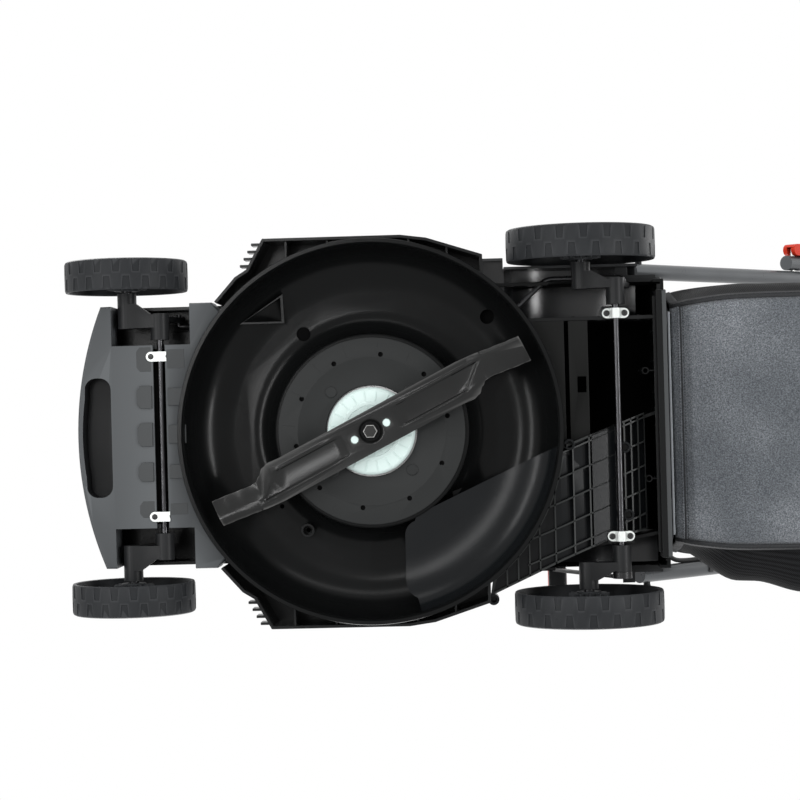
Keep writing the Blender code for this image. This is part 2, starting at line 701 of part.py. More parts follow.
def make_blade():
    """A flat steel bar with narrowed ends, whose trailing corners turn up as sails."""
    tip = BLADE_LENGTH / 2
    along = [-1, -0.93, -0.86, -0.79, -0.72, -0.67, -0.6, -0.54, -0.2,
             0.2, 0.54, 0.6, 0.67, 0.72, 0.79, 0.86, 0.93, 1]
    across = [0, 0.25, 0.5, 0.75, 1]
    layers = []
    for level in (0, BLADE_T):
        rows = []
        for share in along:
            u = share * tip
            low, high = blade_edge(abs(u))
            row = []
            for t in across:
                v = low + (high - low) * t
                lift = SAIL_RISE * max(0, (abs(share) - 0.72) / 0.28) ** 0.6 * max(0, t - 0.4) / 0.6
                rise = level + lift
                row.append((u, v, BLADE_Z + rise) if share > 0 else (u, -v, BLADE_Z + rise))
            if share < 0:
                row.reverse()
            rows.append(row)
        layers.append(rows)
    shape = bmesh.new()
    grid = [[[shape.verts.new(p) for p in row] for row in rows] for rows in layers]
    last_i = len(along) - 1
    last_j = len(across) - 1
    for rows in grid:
        for i in range(last_i):
            for j in range(last_j):
                shape.faces.new((rows[i][j], rows[i + 1][j], rows[i + 1][j + 1], rows[i][j + 1]))
    low, high = grid
    for i in range(last_i):
        for j in (0, last_j):
            shape.faces.new((low[i][j], low[i + 1][j], high[i + 1][j], high[i][j]))
    for j in range(last_j):
        for i in (0, last_i):
            shape.faces.new((low[i][j], low[i][j + 1], high[i][j + 1], high[i][j]))
    closed(shape)
    shape.transform(Matrix.Rotation(radians(BLADE_ANGLE), 4, "Z"))
    blade = part("blade", shape, "blade_steel")
    lean = radians(BLADE_ANGLE)
    holes = [drum(5, BLADE_Z - 5, BLADE_Z + 10, 12, (s * BLADE_HOLE_X * cos(lean),
                                                      s * BLADE_HOLE_X * sin(lean)))
             for s in (1, -1)]
    cut(blade, joined(drum(BOLT_R + FIT, BLADE_Z - 5, BLADE_Z + 10, 16), *holes))

    head = BLADE_Z - FIT
    hexagon = [(BOLT_HEX_R * cos(radians(60 * i)), BOLT_HEX_R * sin(radians(60 * i)))
               for i in range(6)]
    bolt = part("blade_bolt", turned([(0, head - 2.5), (11, head - 2.5), (11, head), (BOLT_R, head),
                                      (BOLT_R, head + 24), (0, head + 24)], 24), "zinc_steel")
    fuse(bolt, prism(hexagon, head - 9, head - 1.5))


def make_axle(end, rod, reach, boss_in, boss_out, stub_in, wheel_in, wheel_out):
    """A height rod, the two cranks on its ends and their stub axles."""
    part(f"{end}_axle_rod", cross_pin(rod.x, rod.z, -reach, reach, ROD_R, 14), "zinc_steel", rod)
    wheel = (rod.x + CRANK_X, rod.z + CRANK_Z)
    for side, word in ((1, "left"), (-1, "right")):
        def span(a, b):
            return (a, b) if side == 1 else (-b, -a)

        origin = (rod.x, side * boss_in, rod.z)
        crank = part(f"{end}_{word}_crank",
                     cross_pin(rod.x, rod.z, *span(boss_in, boss_out), CRANK_BOSS_R, 20),
                     "black_plastic", origin)
        fuse(crank, cross_pin(wheel[0], wheel[1], *span(stub_in, wheel_in - 1.2),
                              CRANK_BOSS_R, 20))
        fuse(crank, capsule((rod.x, rod.z), wheel, CRANK_BOSS_R - 2,
                            *span(stub_in + 0.5, boss_out - 0.5)))
        fuse(crank, cross_pin(wheel[0], wheel[1], *span(wheel_in - 4, wheel_out - 11),
                              STUB_R, 16))
        pivot = (rod.x + LINK_X, rod.z + LINK_Z)
        if side == 1:
            fuse(crank, capsule((rod.x, rod.z), pivot, 6.5, boss_out - ARM_IN, boss_out - ARM_OUT))
        cut(crank, cross_pin(rod.x, rod.z, *span(boss_in - 5, reach + FIT), ROD_R + FIT, 14))
        if side == 1:
            cut(crank, cross_pin(*pivot, boss_out - 20, boss_out + 10, LINK_R + 0.9, 10))


def make_link():
    """The rod that ties the two axles together, hooked into both left cranks."""
    rear = (REAR_ROD.x + LINK_X, REAR_ROD.z + LINK_Z)
    fore = (FRONT_ROD.x + LINK_X, FRONT_ROD.z + LINK_Z)
    outer = REAR_BOSS_OUT + LINK_R + 1.3
    inner = FRONT_BOSS_OUT - ARM_IN - LINK_R - 1.3
    route = [(rear[0], outer - 14, rear[1]), (rear[0], outer - 3, rear[1]),
             (rear[0] + 4, outer, rear[1]), (-205, outer, rear[1]), (-158, inner, rear[1]),
             (168, inner, rear[1]), (fore[0] - 7, inner, fore[1]), (fore[0], inner + 1, fore[1]),
             (fore[0], inner + 14, fore[1])]
    part("height_link", pipe(route, LINK_R, 8), "zinc_steel", (rear[0], outer, rear[1]))


def make_lever():
    """The height lever on the right crank, with its orange grip above the wheel."""
    inner = -REAR_BOSS_OUT - FIT
    y = inner - LEVER_OUT
    x = REAR_ROD.x
    z = REAR_ROD.z
    hub = cross_pin(x, z, y - LEVER_T, inner, CRANK_BOSS_R, 18)
    lever = part("height_lever", hub, "zinc_steel", (x, inner, z))
    arm = [(x - 6, z + 4), (x + 8, z - 2), (-222, 168), (-206, 205), (-216, 209), (-235, 172)]
    fuse(lever, side_prism(arm, y - LEVER_T + 0.1, y))
    tip = (-212, 212)
    grip = rounded_block((-11, 11), (y - 34, y + 3.7), (-3, 34), 5)
    grip.transform(Matrix.Translation((tip[0], 0, tip[1])))
    knob = part("height_lever_grip", grip, "orange_plastic", (x, inner, z))
    cut(knob, side_prism([(-225, 196), (-204, 196), (-202, 211), (-220, 214)],
                         y - LEVER_T - FIT, y + FIT))


def make_straps():
    """Zinc clips that hold the height rods up against the body."""
    def clip(name, rod, y, reach):
        seat = rod.z + ROD_R + FIT if rod.x < 0 else APRON_Z
        low = rod.z - ROD_R - FIT
        flat = seat - FIT
        wide = ROD_R + FIT
        t = STRAP_T
        if rod.x < 0:
            outline = [(-reach, flat), (-reach, flat - t), (-wide - t, flat - t),
                       (-wide - t, low - t), (wide + t, low - t), (wide + t, flat - t),
                       (reach, flat - t), (reach, flat), (wide, flat), (wide, low),
                       (-wide, low), (-wide, flat)]
        else:
            outline = [(-reach, flat - t), (reach, flat - t), (reach, flat), (-reach, flat)]
        outline = [(rod.x + a, b) for a, b in outline]
        part(name, side_prism(outline, y - STRAP_W / 2, y + STRAP_W / 2), "zinc_steel",
             (rod.x, y, rod.z))

    for side, word in ((1, "left"), (-1, "right")):
        clip(f"front_{word}_strap", FRONT_ROD, side * 91, 13)
        clip(f"rear_{word}_strap", REAR_ROD, side * 127, 14)


def make_wheel(name, x, radius, inner, width, side):
    """A moulded wheel, open at the back, with its cap over the axle's end."""
    r = radius / cos(pi / WHEEL_SIDES)
    w = width
    face = w - 9
    profile = [(STUB_R + FIT, 1), (15, 1), (15, face - 5), (r - 26, face - 5), (r - 14, 6),
               (r - 12, 0), (r - 3, 0), (r, 4), (r, w - 4), (r - 3, w), (r - 14, w),
               (r - 18, face + 1), (20, face - 1), (STUB_R + FIT, face - 1)]
    shape = turned(profile, WHEEL_SIDES)
    shape.transform(Matrix.Rotation(pi / WHEEL_SIDES, 4, "Z"))
    turn = Matrix.Rotation(-side * pi / 2, 4, "X")
    shape.transform(turn)
    centre = (x, side * inner, radius)
    shape.transform(Matrix.Translation(centre))
    part(f"{name}_wheel", closed(shape), "tyre_plastic", (x, side * (inner + w / 2), radius))
    cap = turned([(0, face + 5), (18, face + 4), (25, face - 0.6 + FIT), (18, face - 1 + FIT * 2),
                  (0, face - 1 + FIT * 2)], 20)
    cap.transform(turn)
    cap.transform(Matrix.Translation(centre))
    part(f"{name}_hub_cap", closed(cap), "hood_plastic", (x, side * (inner + w / 2), radius))


def make_hood():
    """The one-piece hood over the motor, with the battery bay's opening in its top."""
    half_angle = degrees(atan2(HOOD_HALF, sqrt(HOOD_R ** 2 - HOOD_HALF ** 2))) - 6
    nose = arc((0, 0), HOOD_R, -half_angle, half_angle, 14)
    corner_x = HOOD_REAR + 4
    base = nose + [(105, HOOD_HALF), (30, HOOD_HALF), (-60, HOOD_HALF), (corner_x, HOOD_HALF - 3),
                   (HOOD_REAR, HOOD_HALF - 14), (HOOD_REAR, 60), (HOOD_REAR, -60),
                   (HOOD_REAR, -HOOD_HALF + 14), (corner_x, -HOOD_HALF + 3), (-60, -HOOD_HALF),
                   (30, -HOOD_HALF), (105, -HOOD_HALF)]
    centre = (20.0, 0.0)
    levels = [(0.0, 1.0, 1.0), (0.30, 0.985, 0.98), (0.52, 0.93, 0.93), (0.72, 0.84, 0.83),
              (0.88, 0.76, 0.73), (0.97, 0.70, 0.64), (1.0, 0.64, 0.57)]
    low = DECK_TOP + FIT

    def ring(share, along, across, inset):
        z = low + (HOOD_TOP - low - inset) * share
        points = []
        for x, y in base:
            shrink = along if x > centre[0] else 1 - (1 - along) * 0.3
            px = centre[0] + (x - centre[0]) * shrink
            py = y * across
            away = Vector((px - centre[0], py))
            away = away - away.normalized() * inset
            points.append((centre[0] + away.x, away.y, z))
        return points

    outer = [ring(s, a, b, 0) for s, a, b in levels]
    hood = part("hood", lofted(outer), "hood_plastic")
    inside = [ring(s, a, b, HOOD_T) for s, a, b in levels]
    inside[0] = [(x, y, low - 5) for x, y, _ in inside[0]]
    cut(hood, lofted(inside))
    cut(hood, block((BAY_REAR, BAY_FRONT), (-BAY_HALF, BAY_HALF), (HOOD_TOP - 20, HOOD_TOP + 5)))
    cut(hood, joined(block((120, 215), (121, 135), (DECK_TOP - 3, FRONT_TOP)),
                     block((-130, -100), (121, 135), (DECK_TOP - 3, FRONT_TOP + 5))))


def make_battery():
    """The battery tub, the pack in it, the safety key and the hinged lid above."""
    top = HOOD_TOP - HOOD_T - FIT
    tub = part("battery_tub", block((BAY_REAR - 3, BAY_FRONT + 3), (-BAY_HALF - 3, BAY_HALF + 3),
                                    (top - BAY_DEPTH, top - 1)), "black_plastic")
    fuse(tub, block((BAY_REAR - 6, BAY_FRONT + 6), (-BAY_HALF - 6, BAY_HALF + 6),
                    (top - 4, top)))
    cut(tub, block((BAY_REAR, BAY_FRONT), (-BAY_HALF, BAY_HALF), (top - BAY_DEPTH + 3, top + 5)))
    floor = top - BAY_DEPTH + 3
    middle = (BAY_FRONT + BAY_REAR) / 2
    part("battery_pack", rounded_block((middle - PACK_LENGTH / 2, middle + PACK_LENGTH / 2),
                                       (-BAY_HALF + 2, -BAY_HALF + 2 + PACK_WIDTH),
                                       (floor + FIT, floor + FIT + PACK_HEIGHT), 5), "black_plastic")
    key_y = BAY_HALF - 18
    key = part("safety_key", rounded_block((middle - 12, middle + 12), (key_y - 4, key_y + 4),
                                           (floor + FIT, floor + 34), 2, 1), "orange_plastic")
    cut(key, cross_pin(middle, floor + 24, key_y - 10, key_y + 10, 5, 12))
    part("speed_controller", rounded_block((-104, -60), (-60, 60), (DECK_TOP + FIT, 150), 3, 1),
         "motor_grey")

    low = HOOD_TOP + FIT
    front = BAY_FRONT + 20
    rear = BAY_REAR - 12
    half = BAY_HALF + 8
    axis = (front - 5, 0, low + 6)
    outline = [(front, -half + 12), (front, half - 12), (front - 12, half), (rear + 12, half),
               (rear, half - 12), (rear, -half + 12), (rear + 12, -half), (front - 12, -half)]
    lid = part("battery_lid", rounded_top(prism(outline, low, low + LID_H), 9), "hood_plastic",
               axis)
    cut(lid, block((rear + 8, front - 14), (-half + 8, half - 8), (low - 5, low + LID_H - LID_T)))
    cut(lid, block((front - 12, front + 5), (-36, 36), (low - 5, low + 13)))
    toe = [(axis[0], low - 2), (axis[0], low), (front, low + 2.9), (front + 2, low + 2.9),
           (front + 2, low - 2)]
    cut(lid, side_prism(toe, -half - 2, half + 2))
    fuse(lid, cross_pin(axis[0], axis[2], -40, 40, 2, 12))
    ears = [block((axis[0] - 4.5, axis[0] + 4), (s * 22 - 6, s * 22 + 6),
                  (HOOD_TOP - 1, axis[2] + 4.5)) for s in (1, -1)]
    hood = bpy.data.objects["hood"]
    fuse(hood, joined(*ears))
    cut(hood, cross_pin(axis[0], axis[2], -40, 40, 2 + FIT, 12))


def make_flap():
    """The rear flap, which lies on the bag's mouth, with its pin and its spring."""
    pin_y = FLAP_HALF - 6
    axis = (FLAP_X, 0, FLAP_Z)
    part("flap_pin", cross_pin(FLAP_X, FLAP_Z, -pin_y, pin_y, 2.5, 12), "zinc_steel", axis)
    low = BAG_HIGH + FIT + BAG_LID_H + FIT
    end = FLAP_X - FLAP_LENGTH
    outline = [(FLAP_X + 6, FLAP_Z - 3), (FLAP_X + 6, low - 2), (FLAP_X + 1, low + FLAP_T),
               (end, low + FLAP_T), (end - 2, low), (FLAP_X - 7, low),
               (FLAP_X - 7, FLAP_Z - 3), (FLAP_X - 3, FLAP_Z - 6), (FLAP_X + 3, FLAP_Z - 6)]
    flap = part("rear_flap", side_prism(outline, -FLAP_HALF, FLAP_HALF), "hood_plastic", axis)
    cut(flap, cross_pin(FLAP_X, FLAP_Z, -FLAP_HALF - 5, FLAP_HALF + 5, 2.5 + FIT, 12))
    lugs = [block((FLAP_X - 9, FLAP_X + 9), (y - 6.5, y + 6.5), (FLAP_Z - 12, FLAP_Z + 6.5))
            for y in (-100, 100)]
    cut(flap, joined(*lugs, block((FLAP_X - 9, FLAP_X + 9), (-14, 14),
                                  (FLAP_Z - 12, FLAP_Z + 8.5))))
    deck = bpy.data.objects["deck_housing"]
    ears = [block((FLAP_X - 4, FLAP_X + 4), (y - 5.5, y + 5.5), (REAR_TOP - 8, FLAP_Z + 4.4))
            for y in (-100, 100)]
    fuse(deck, joined(*ears))
    cut(deck, cross_pin(FLAP_X, FLAP_Z, -120, 120, 2.5 + FIT, 12))
    make_spring()


def make_spring():
    """A torsion spring of plain turns about the flap's pin."""
    steps = 9
    turns = SPRING_TURNS
    points = []
    for i in range(turns * steps + 1):
        angle = 2 * pi * i / steps
        points.append((FLAP_X + SPRING_R * cos(angle), (i / steps - turns / 2) * SPRING_PITCH,
                       FLAP_Z + SPRING_R * sin(angle)))
    points.insert(0, (points[0][0], points[0][1], FLAP_Z - 11))
    points.append((points[-1][0], points[-1][1], FLAP_Z + 7))
    least = SPRING_PITCH - 2 * SPRING_WIRE_R
    print(f"flap spring: least gap between turns {least:.2f} mm")
    curve = bpy.data.curves.new("flap_spring", "CURVE")
    curve.dimensions = "3D"
    curve.bevel_depth = SPRING_WIRE_R * MM
    curve.bevel_resolution = 1
    curve.use_fill_caps = True
    spline = curve.splines.new("POLY")
    spline.points.add(len(points) - 1)
    for spot, point in zip(spline.points, points):
        spot.co = (*((Vector(point) - Vector((FLAP_X, 0, FLAP_Z))) * MM), 1)
    spring = bpy.data.objects.new("flap_spring", curve)
    spring.location = (Vector((FLAP_X, 0, FLAP_Z)) + SHIFT) * MM
    bpy.context.collection.objects.link(spring)
    curve.materials.append(finish_of("zinc_steel"))


def bag_ring(x, half_low, half_high, low, high):
    """One section of the bag: a flat bottom with round corners and leaning sides."""
    r = 26
    lean = (half_high - half_low)
    ring = [(x, -half_low + r, low), (x, half_low - r, low)]
    ring += [(x, half_low - r + r * sin(a), low + r - r * cos(a))
             for a in (radians(30), radians(60), radians(90))]
    ring += [(x, half_low + lean * 0.6, low + (high - low) * 0.6), (x, half_high, high)]
    ring += [(px, -py, pz) for px, py, pz in reversed(ring[2:])]
    return ring


def make_bag():
    """The grass bag: cloth body, steel frame round its mouth and a stiff lid on top."""
    stations = [(0.0, 0.94, 34, 0), (0.05, 0.97, 20, 0), (0.16, 1.0, 4, 0), (0.45, 1.0, 0, 0),
                (0.8, 0.99, 3, 0), (0.93, 0.94, 14, 0), (1.0, 0.84, 32, 0)]

    def skin(inset):
        rings = []
        for share, wide, lift, _ in stations:
            x = BAG_FRONT - BAG_LENGTH * share
            rings.append(bag_ring(x, BAG_HALF_LOW * wide - inset, BAG_HALF_HIGH * wide - inset,
                                  BAG_LOW + lift + inset, BAG_HIGH + (inset and 5)))
        if inset:
            rings[0] = [(x + 5, y, z) for x, y, z in rings[0]]
            rings[-1] = [(x + inset, y, z) for x, y, z in rings[-1]]
        return lofted(rings)

    bag = part("bag_cloth", skin(0), "bag_fabric")
    cut(bag, skin(BAG_T))

    lid_low = BAG_HIGH + FIT
    lid = []
    for share, wide, _, _ in stations:
        x = BAG_FRONT - BAG_LENGTH * share
        lid += [(x, BAG_HALF_HIGH * wide - 1)]
    outline = lid + [(x, -y) for x, y in reversed(lid)]
    shell = part("bag_lid", rounded_top(prism(outline, lid_low, lid_low + BAG_LID_H), 7),
                 "black_plastic")
    rear = BAG_FRONT - BAG_LENGTH
    middle = (BAG_FRONT + rear) / 2
    inside = [(middle + (x - middle) * 0.975, y * 0.95) for x, y in outline]
    cut(shell, prism(inside, lid_low - 5, lid_low + BAG_LID_H - BAG_LID_T))
    handle_mid = BAG_FRONT - 0.42 * BAG_LENGTH
    grip = [(handle_mid + 62, lid_low + 12), (handle_mid + 50, lid_low + 52),
            (handle_mid - 50, lid_low + 52), (handle_mid - 62, lid_low + 12),
            (handle_mid - 48, lid_low + 12), (handle_mid - 40, lid_low + 40),
            (handle_mid + 40, lid_low + 40), (handle_mid + 48, lid_low + 12)]
    fuse(shell, side_prism(grip, -12, 12))

    flag_x = BAG_FRONT - 0.70 * BAG_LENGTH
    flag_z = lid_low + BAG_LID_H + FIT
    cut(shell, block((flag_x - 34, flag_x - 4), (-26, 26), (lid_low, lid_low + 30)))
    part("bag_full_flag", rounded_block((flag_x - 38, flag_x + 3), (-30, 30),
                                               (flag_z, flag_z + 3.5), 1.2, 1), "orange_plastic",
                (flag_x + 1, 0, flag_z + 1.7))

    y = BAG_HALF_HIGH * 0.94 - 10
    z_low = BAG_LOW + 34 + 8
    x = BAG_FRONT + 3.6
    frame = [(x, -y, BAG_HIGH - 10), (x, -y + 6, z_low + 34), (x, -y + 16, z_low + 10),
             (x, -y + 34, z_low), (x, y - 34, z_low), (x, y - 16, z_low + 10),
             (x, y - 6, z_low + 34), (x, y, BAG_HIGH - 10), (x, y - 9, BAG_HIGH - 1),
             (x, -y + 9, BAG_HIGH - 1)]
    ring_points = [Vector(p) for p in frame]
    rings = []
    for i, here in enumerate(ring_points):
        before = ring_points[i - 1]
        after = ring_points[(i + 1) % len(ring_points)]
        along = (after - before).normalized()
        out = Vector((1, 0, 0))
        side = along.cross(out)
        rings.append([here + (out * cos(2 * pi * k / 8) + side * sin(2 * pi * k / 8)) * 3
                      for k in range(8)])
    part("bag_frame", lofted(rings, capped=False), "zinc_steel")


def make_handle():
    """Two lower tubes on brackets, the bent upper tube, its clamps and the grip."""
    across = Vector((0, 1, 0))
    for side, word in ((1, "left"), (-1, "right")):
        y = side * LOWER_Y
        foot = Vector((FOOT_X, y, FOOT_Z))
        start = foot - HANDLE_DIR * 14
        end = foot + HANDLE_DIR * (LOWER_LENGTH + 14)
        tube = part(f"lower_{word}_tube", pipe([start, end], TUBE_R, 16), "handle_metal", foot)
        cut(tube, cross_pin(FOOT_X, FOOT_Z, *sorted((y - 20, y + 20)), 4 + FIT, 12))
        cut(tube, cross_pin(CLAMP.x, CLAMP.z, *sorted((y - 20, y + 20)), 3 + FIT, 12))

        face = side * (REAR_HALF + FIT)
        outer = side * (LOWER_Y - TUBE_R - FIT)
        plate = [(-286, 158), (-340, 158), (-342, 200), (-332, 219), (-306, 219), (-290, 205)]
        bracket = part(f"{word}_handle_bracket", side_prism(plate, *sorted((face, outer))),
                       "black_plastic")
        rest = [(-300, 158), (-334, 158), (-326, 176), (-306, 186), (-300, 176)]
        fuse(bracket, side_prism(rest, *sorted((outer - side, side * (LOWER_Y + TUBE_R - 4.5)))))
        stud = (outer - side * 2, side * (LOWER_Y + TUBE_R + 5))
        fuse(bracket, cross_pin(FOOT_X, FOOT_Z, *sorted(stud), 4, 12))
        clamp_face = side * (UPPER_Y + TUBE_R + FIT)
        head = LOWER_Y - TUBE_R - CLAMP_HEAD
        length = UPPER_Y + TUBE_R + CAM_R + 1 - head
        part(f"{word}_clamp_bolt",
             turned([(0, 0), (8, 0), (8, side * 3.4), (3, side * 3.4), (3, side * length),
                     (0, side * length)], 14,
                    (CLAMP.x, side * head, CLAMP.z), "Y"),
             "zinc_steel", CLAMP)
        hinge = Vector((CLAMP.x, clamp_face + side * CAM_R, CLAMP.z))
        frame = Matrix((HANDLE_DIR, across * side, LEVER_AXIS)).transposed().to_4x4()
        frame.translation = hinge
        outline = arc((0, 0), CAM_R, 90, 270, 8) + [(16, -CAM_R), (CAM_LENGTH, 0),
                                                    (CAM_LENGTH - 2, 6), (16, CAM_R)]
        cam = prism(outline, -9, 9)
        slot = block((-CAM_R - 3, 3.4), (-CAM_R - 3, 3.4), (-3.4, 3.4))
        cam.transform(frame)
        slot.transform(frame)
        lever = part(f"{word}_clamp_lever", closed(cam), "orange_plastic", hinge)
        cut(lever, closed(slot))

    leg_end = UPPER_LENGTH - CORNER_R
    route = []
    for side in (1, -1):
        legs = [across * (side * UPPER_Y) + CLAMP - HANDLE_DIR * 14,
                across * (side * UPPER_Y) + CLAMP + HANDLE_DIR * leg_end]
        turn = []
        for i in range(1, 6):
            angle = radians(90 * i / 5)
            turn.append(across * (side * (UPPER_Y - CORNER_R * (1 - cos(angle))))
                        + CLAMP + HANDLE_DIR * (leg_end + CORNER_R * sin(angle)))
        leg = legs + turn
        route += leg if side == 1 else leg[::-1]
    upper = part("upper_handle", pipe(route, TUBE_R, 14), "handle_metal", CLAMP)
    cut(upper, joined(*[cross_pin(CLAMP.x, CLAMP.z, *sorted((s * (UPPER_Y - 20),
                                                            s * (UPPER_Y + 20))), 3 + FIT, 12)
                        for s in (1, -1)]))

    half = UPPER_Y - CORNER_R - 26
    ring = turned([(TUBE_R + FIT, -half), (GRIP_R, -half), (GRIP_R, half), (TUBE_R + FIT, half)],
                  20, GRIP, "Y")
    part("foam_grip", ring, "foam", GRIP)


def make_controls():
    """The switch box on the right leg, its start button, the bail and its pivot block."""
    base = CLAMP + HANDLE_DIR * (UPPER_LENGTH - 150)
    forward = LEVER_AXIS
    tilt = Matrix.Rotation(radians(HANDLE_ANGLE - 90), 4, "Y")

    def placed(shape, y):
        shape.transform(tilt)
        shape.transform(Matrix.Translation((base.x, y, base.z)))
        return closed(shape)

    box = part("switch_box", placed(rounded_block((-17, 26), (-17, 38), (-48, 46), 6), -UPPER_Y),
               "black_plastic")
    start = base - HANDLE_DIR * 90 + Vector((0, -UPPER_Y, 0))
    end = base + HANDLE_DIR * 90 + Vector((0, -UPPER_Y, 0))
    cut(box, pipe([start, end], TUBE_R + FIT, 16))
    button_at = Vector((base.x, -UPPER_Y + 26, base.z)) + HANDLE_DIR * 22 + forward * 14
    depth = forward * 18
    cut(box, pipe([button_at, button_at + depth], 8.5 + FIT, 14))
    part("start_button", pipe([button_at + forward * 4, button_at + forward * 17], 8.5, 14),
         "orange_plastic", button_at)

    pivot = base + forward * 2
    inner_left = UPPER_Y - TUBE_R - FIT
    inner_right = -UPPER_Y + 38 + FIT
    bail_reach = 128.0
    lean = HANDLE_DIR * cos(radians(BAIL_LEAN)) + forward * sin(radians(BAIL_LEAN))
    tips = (Vector((pivot.x, inner_left + 8, pivot.z)), Vector((pivot.x, inner_right - 8, pivot.z)))
    y_left = inner_left - 8
    y_right = inner_right + 8
    loop = [tips[0], Vector((pivot.x, y_left + 3, pivot.z)),
            Vector((0, y_left, 0)) + pivot + lean * 4,
            Vector((0, y_left, 0)) + pivot + lean * (bail_reach - 14),
            Vector((0, y_left - 4, 0)) + pivot + lean * (bail_reach - 4),
            Vector((0, y_left - 14, 0)) + pivot + lean * bail_reach,
            Vector((0, y_right + 14, 0)) + pivot + lean * bail_reach,
            Vector((0, y_right + 4, 0)) + pivot + lean * (bail_reach - 4),
            Vector((0, y_right, 0)) + pivot + lean * (bail_reach - 14),
            Vector((0, y_right, 0)) + pivot + lean * 4,
            Vector((pivot.x, y_right - 3, pivot.z)), tips[1]]
    part("bail_lever", pipe(loop, 3.4, 8), "black_plastic", pivot)
    for owner, (near, far) in ((box, (inner_right - 10, inner_right + 5)),
                               (bpy.data.objects["upper_handle"], (inner_left - 5, inner_left + 10))):
        cut(owner, cross_pin(pivot.x, pivot.z, near, far, 3.4 + FIT + 0.2, 12))


def make_cable():
    """The control cable, clipped inside the right tubes, in one length on each handle."""
    def at(distance, y):
        spot = CLAMP + HANDLE_DIR * distance
        return (spot.x, y, spot.z)

    by_bolt = -(LOWER_Y - TUBE_R - CLAMP_HEAD - CABLE_R - 0.6)
    by_lower = -(LOWER_Y - TUBE_R - CABLE_R - 0.5)
    by_upper = -(UPPER_Y - TUBE_R - CABLE_R - 0.5)
    gap = CABLE_FOLD_GAP
    route = [at(gap, by_bolt), at(18, by_bolt), at(32, by_bolt - 3), at(58, by_upper + 2),
             at(80, by_upper), at(110, by_upper), at(380, by_upper), at(UPPER_LENGTH - 202, by_upper)]
    part("upper_cable", pipe(smooth_route(route, 24), CABLE_R, 8), "black_plastic", CLAMP)
    route = [at(-gap, by_bolt), at(-18, by_bolt), at(-36, by_lower), at(-60, by_lower),
             at(-180, by_lower), at(60 - LOWER_LENGTH, by_lower), at(34 - LOWER_LENGTH, by_bolt + 6)]
    part("lower_cable", pipe(smooth_route(route, 24), CABLE_R, 8), "black_plastic", FOOT)


def build():
    clear_scene()
    make_deck()
    make_apron()
    make_chute_floor()
    make_rear_beam()
    make_motor()
    make_blade()
    make_axle("front", FRONT_ROD, 134, FRONT_BOSS_IN, FRONT_BOSS_OUT, FRONT_STUB_IN,
              FRONT_WHEEL_IN, FRONT_WHEEL_IN + FRONT_WHEEL_W)
    make_axle("rear", REAR_ROD, 160, REAR_BOSS_IN, REAR_BOSS_OUT, REAR_STUB_IN,
              REAR_WHEEL_IN, REAR_WHEEL_IN + REAR_WHEEL_W)
    make_link()
    make_lever()
    make_straps()
    for side, word in ((1, "left"), (-1, "right")):
        make_wheel(f"front_{word}", FRONT_WHEEL_X, FRONT_WHEEL_R, FRONT_WHEEL_IN,
                   FRONT_WHEEL_W, side)
        make_wheel(f"rear_{word}", REAR_WHEEL_X, REAR_WHEEL_R, REAR_WHEEL_IN,
                   REAR_WHEEL_W, side)
    make_hood()
    make_battery()
    make_flap()
    make_bag()
    make_handle()
    make_controls()
    make_cable()


build()
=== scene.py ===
"""Looks for the cordless lawn mower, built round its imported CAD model.

The photographed view is from underneath, with the front of the machine on the left.  Sizes
are millimetres from the blade spindle on the ground, X forward, Y to the operator's left and
Z up, and they become metres in the model's own frame where a piece is made.
"""

from math import atan2, cos, degrees, pi, radians, sin, sqrt

import bmesh
import bpy
from mathutils import Matrix, Vector, noise


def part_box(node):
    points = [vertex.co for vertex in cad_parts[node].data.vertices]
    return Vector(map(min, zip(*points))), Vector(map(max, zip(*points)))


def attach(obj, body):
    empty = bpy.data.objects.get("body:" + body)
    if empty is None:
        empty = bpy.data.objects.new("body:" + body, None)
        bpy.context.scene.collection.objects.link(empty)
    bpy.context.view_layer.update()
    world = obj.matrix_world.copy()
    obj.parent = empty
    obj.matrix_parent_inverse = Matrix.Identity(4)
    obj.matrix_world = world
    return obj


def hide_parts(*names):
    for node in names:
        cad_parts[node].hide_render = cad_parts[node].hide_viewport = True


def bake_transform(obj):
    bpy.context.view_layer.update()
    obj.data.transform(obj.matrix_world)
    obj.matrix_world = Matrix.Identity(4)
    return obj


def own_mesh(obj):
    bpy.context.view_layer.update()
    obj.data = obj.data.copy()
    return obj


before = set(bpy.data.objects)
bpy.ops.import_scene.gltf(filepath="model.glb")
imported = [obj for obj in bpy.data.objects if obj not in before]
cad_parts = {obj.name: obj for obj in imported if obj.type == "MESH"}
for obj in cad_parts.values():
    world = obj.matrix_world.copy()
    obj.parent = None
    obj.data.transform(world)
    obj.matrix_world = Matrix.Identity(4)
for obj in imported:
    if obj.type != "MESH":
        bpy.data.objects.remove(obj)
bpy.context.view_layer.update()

# Camera.  The photograph was taken square on from below, about 2.3 m under the ground line,
# a little behind the spindle, so the wheels nearest the edges show their inner faces.

PHOTO_PIXELS = 800
FOCAL_PIXELS = 2105
SENSOR = 36.0
EYE = Vector((0.2604, 0.0207, -2.323))
SIGHT = Vector((79.7 / FOCAL_PIXELS, 12.1 / FOCAL_PIXELS, 1)).normalized()
IMAGE_UP = Vector((-0.0262, 0.9997, 0))

lens = bpy.data.cameras.new("studio_camera")
lens.sensor_width = SENSOR
lens.lens = FOCAL_PIXELS / PHOTO_PIXELS * SENSOR
lens.clip_end = 100
camera = bpy.data.objects.new("studio_camera", lens)
bpy.context.collection.objects.link(camera)
camera_right = IMAGE_UP.cross(-SIGHT).normalized()
camera_up = (-SIGHT).cross(camera_right)
camera.matrix_world = Matrix.Translation(EYE) @ Matrix(
    (camera_right, camera_up, -SIGHT)).transposed().to_4x4()
bpy.context.scene.camera = camera
bpy.context.scene.view_settings.view_transform = "Standard"

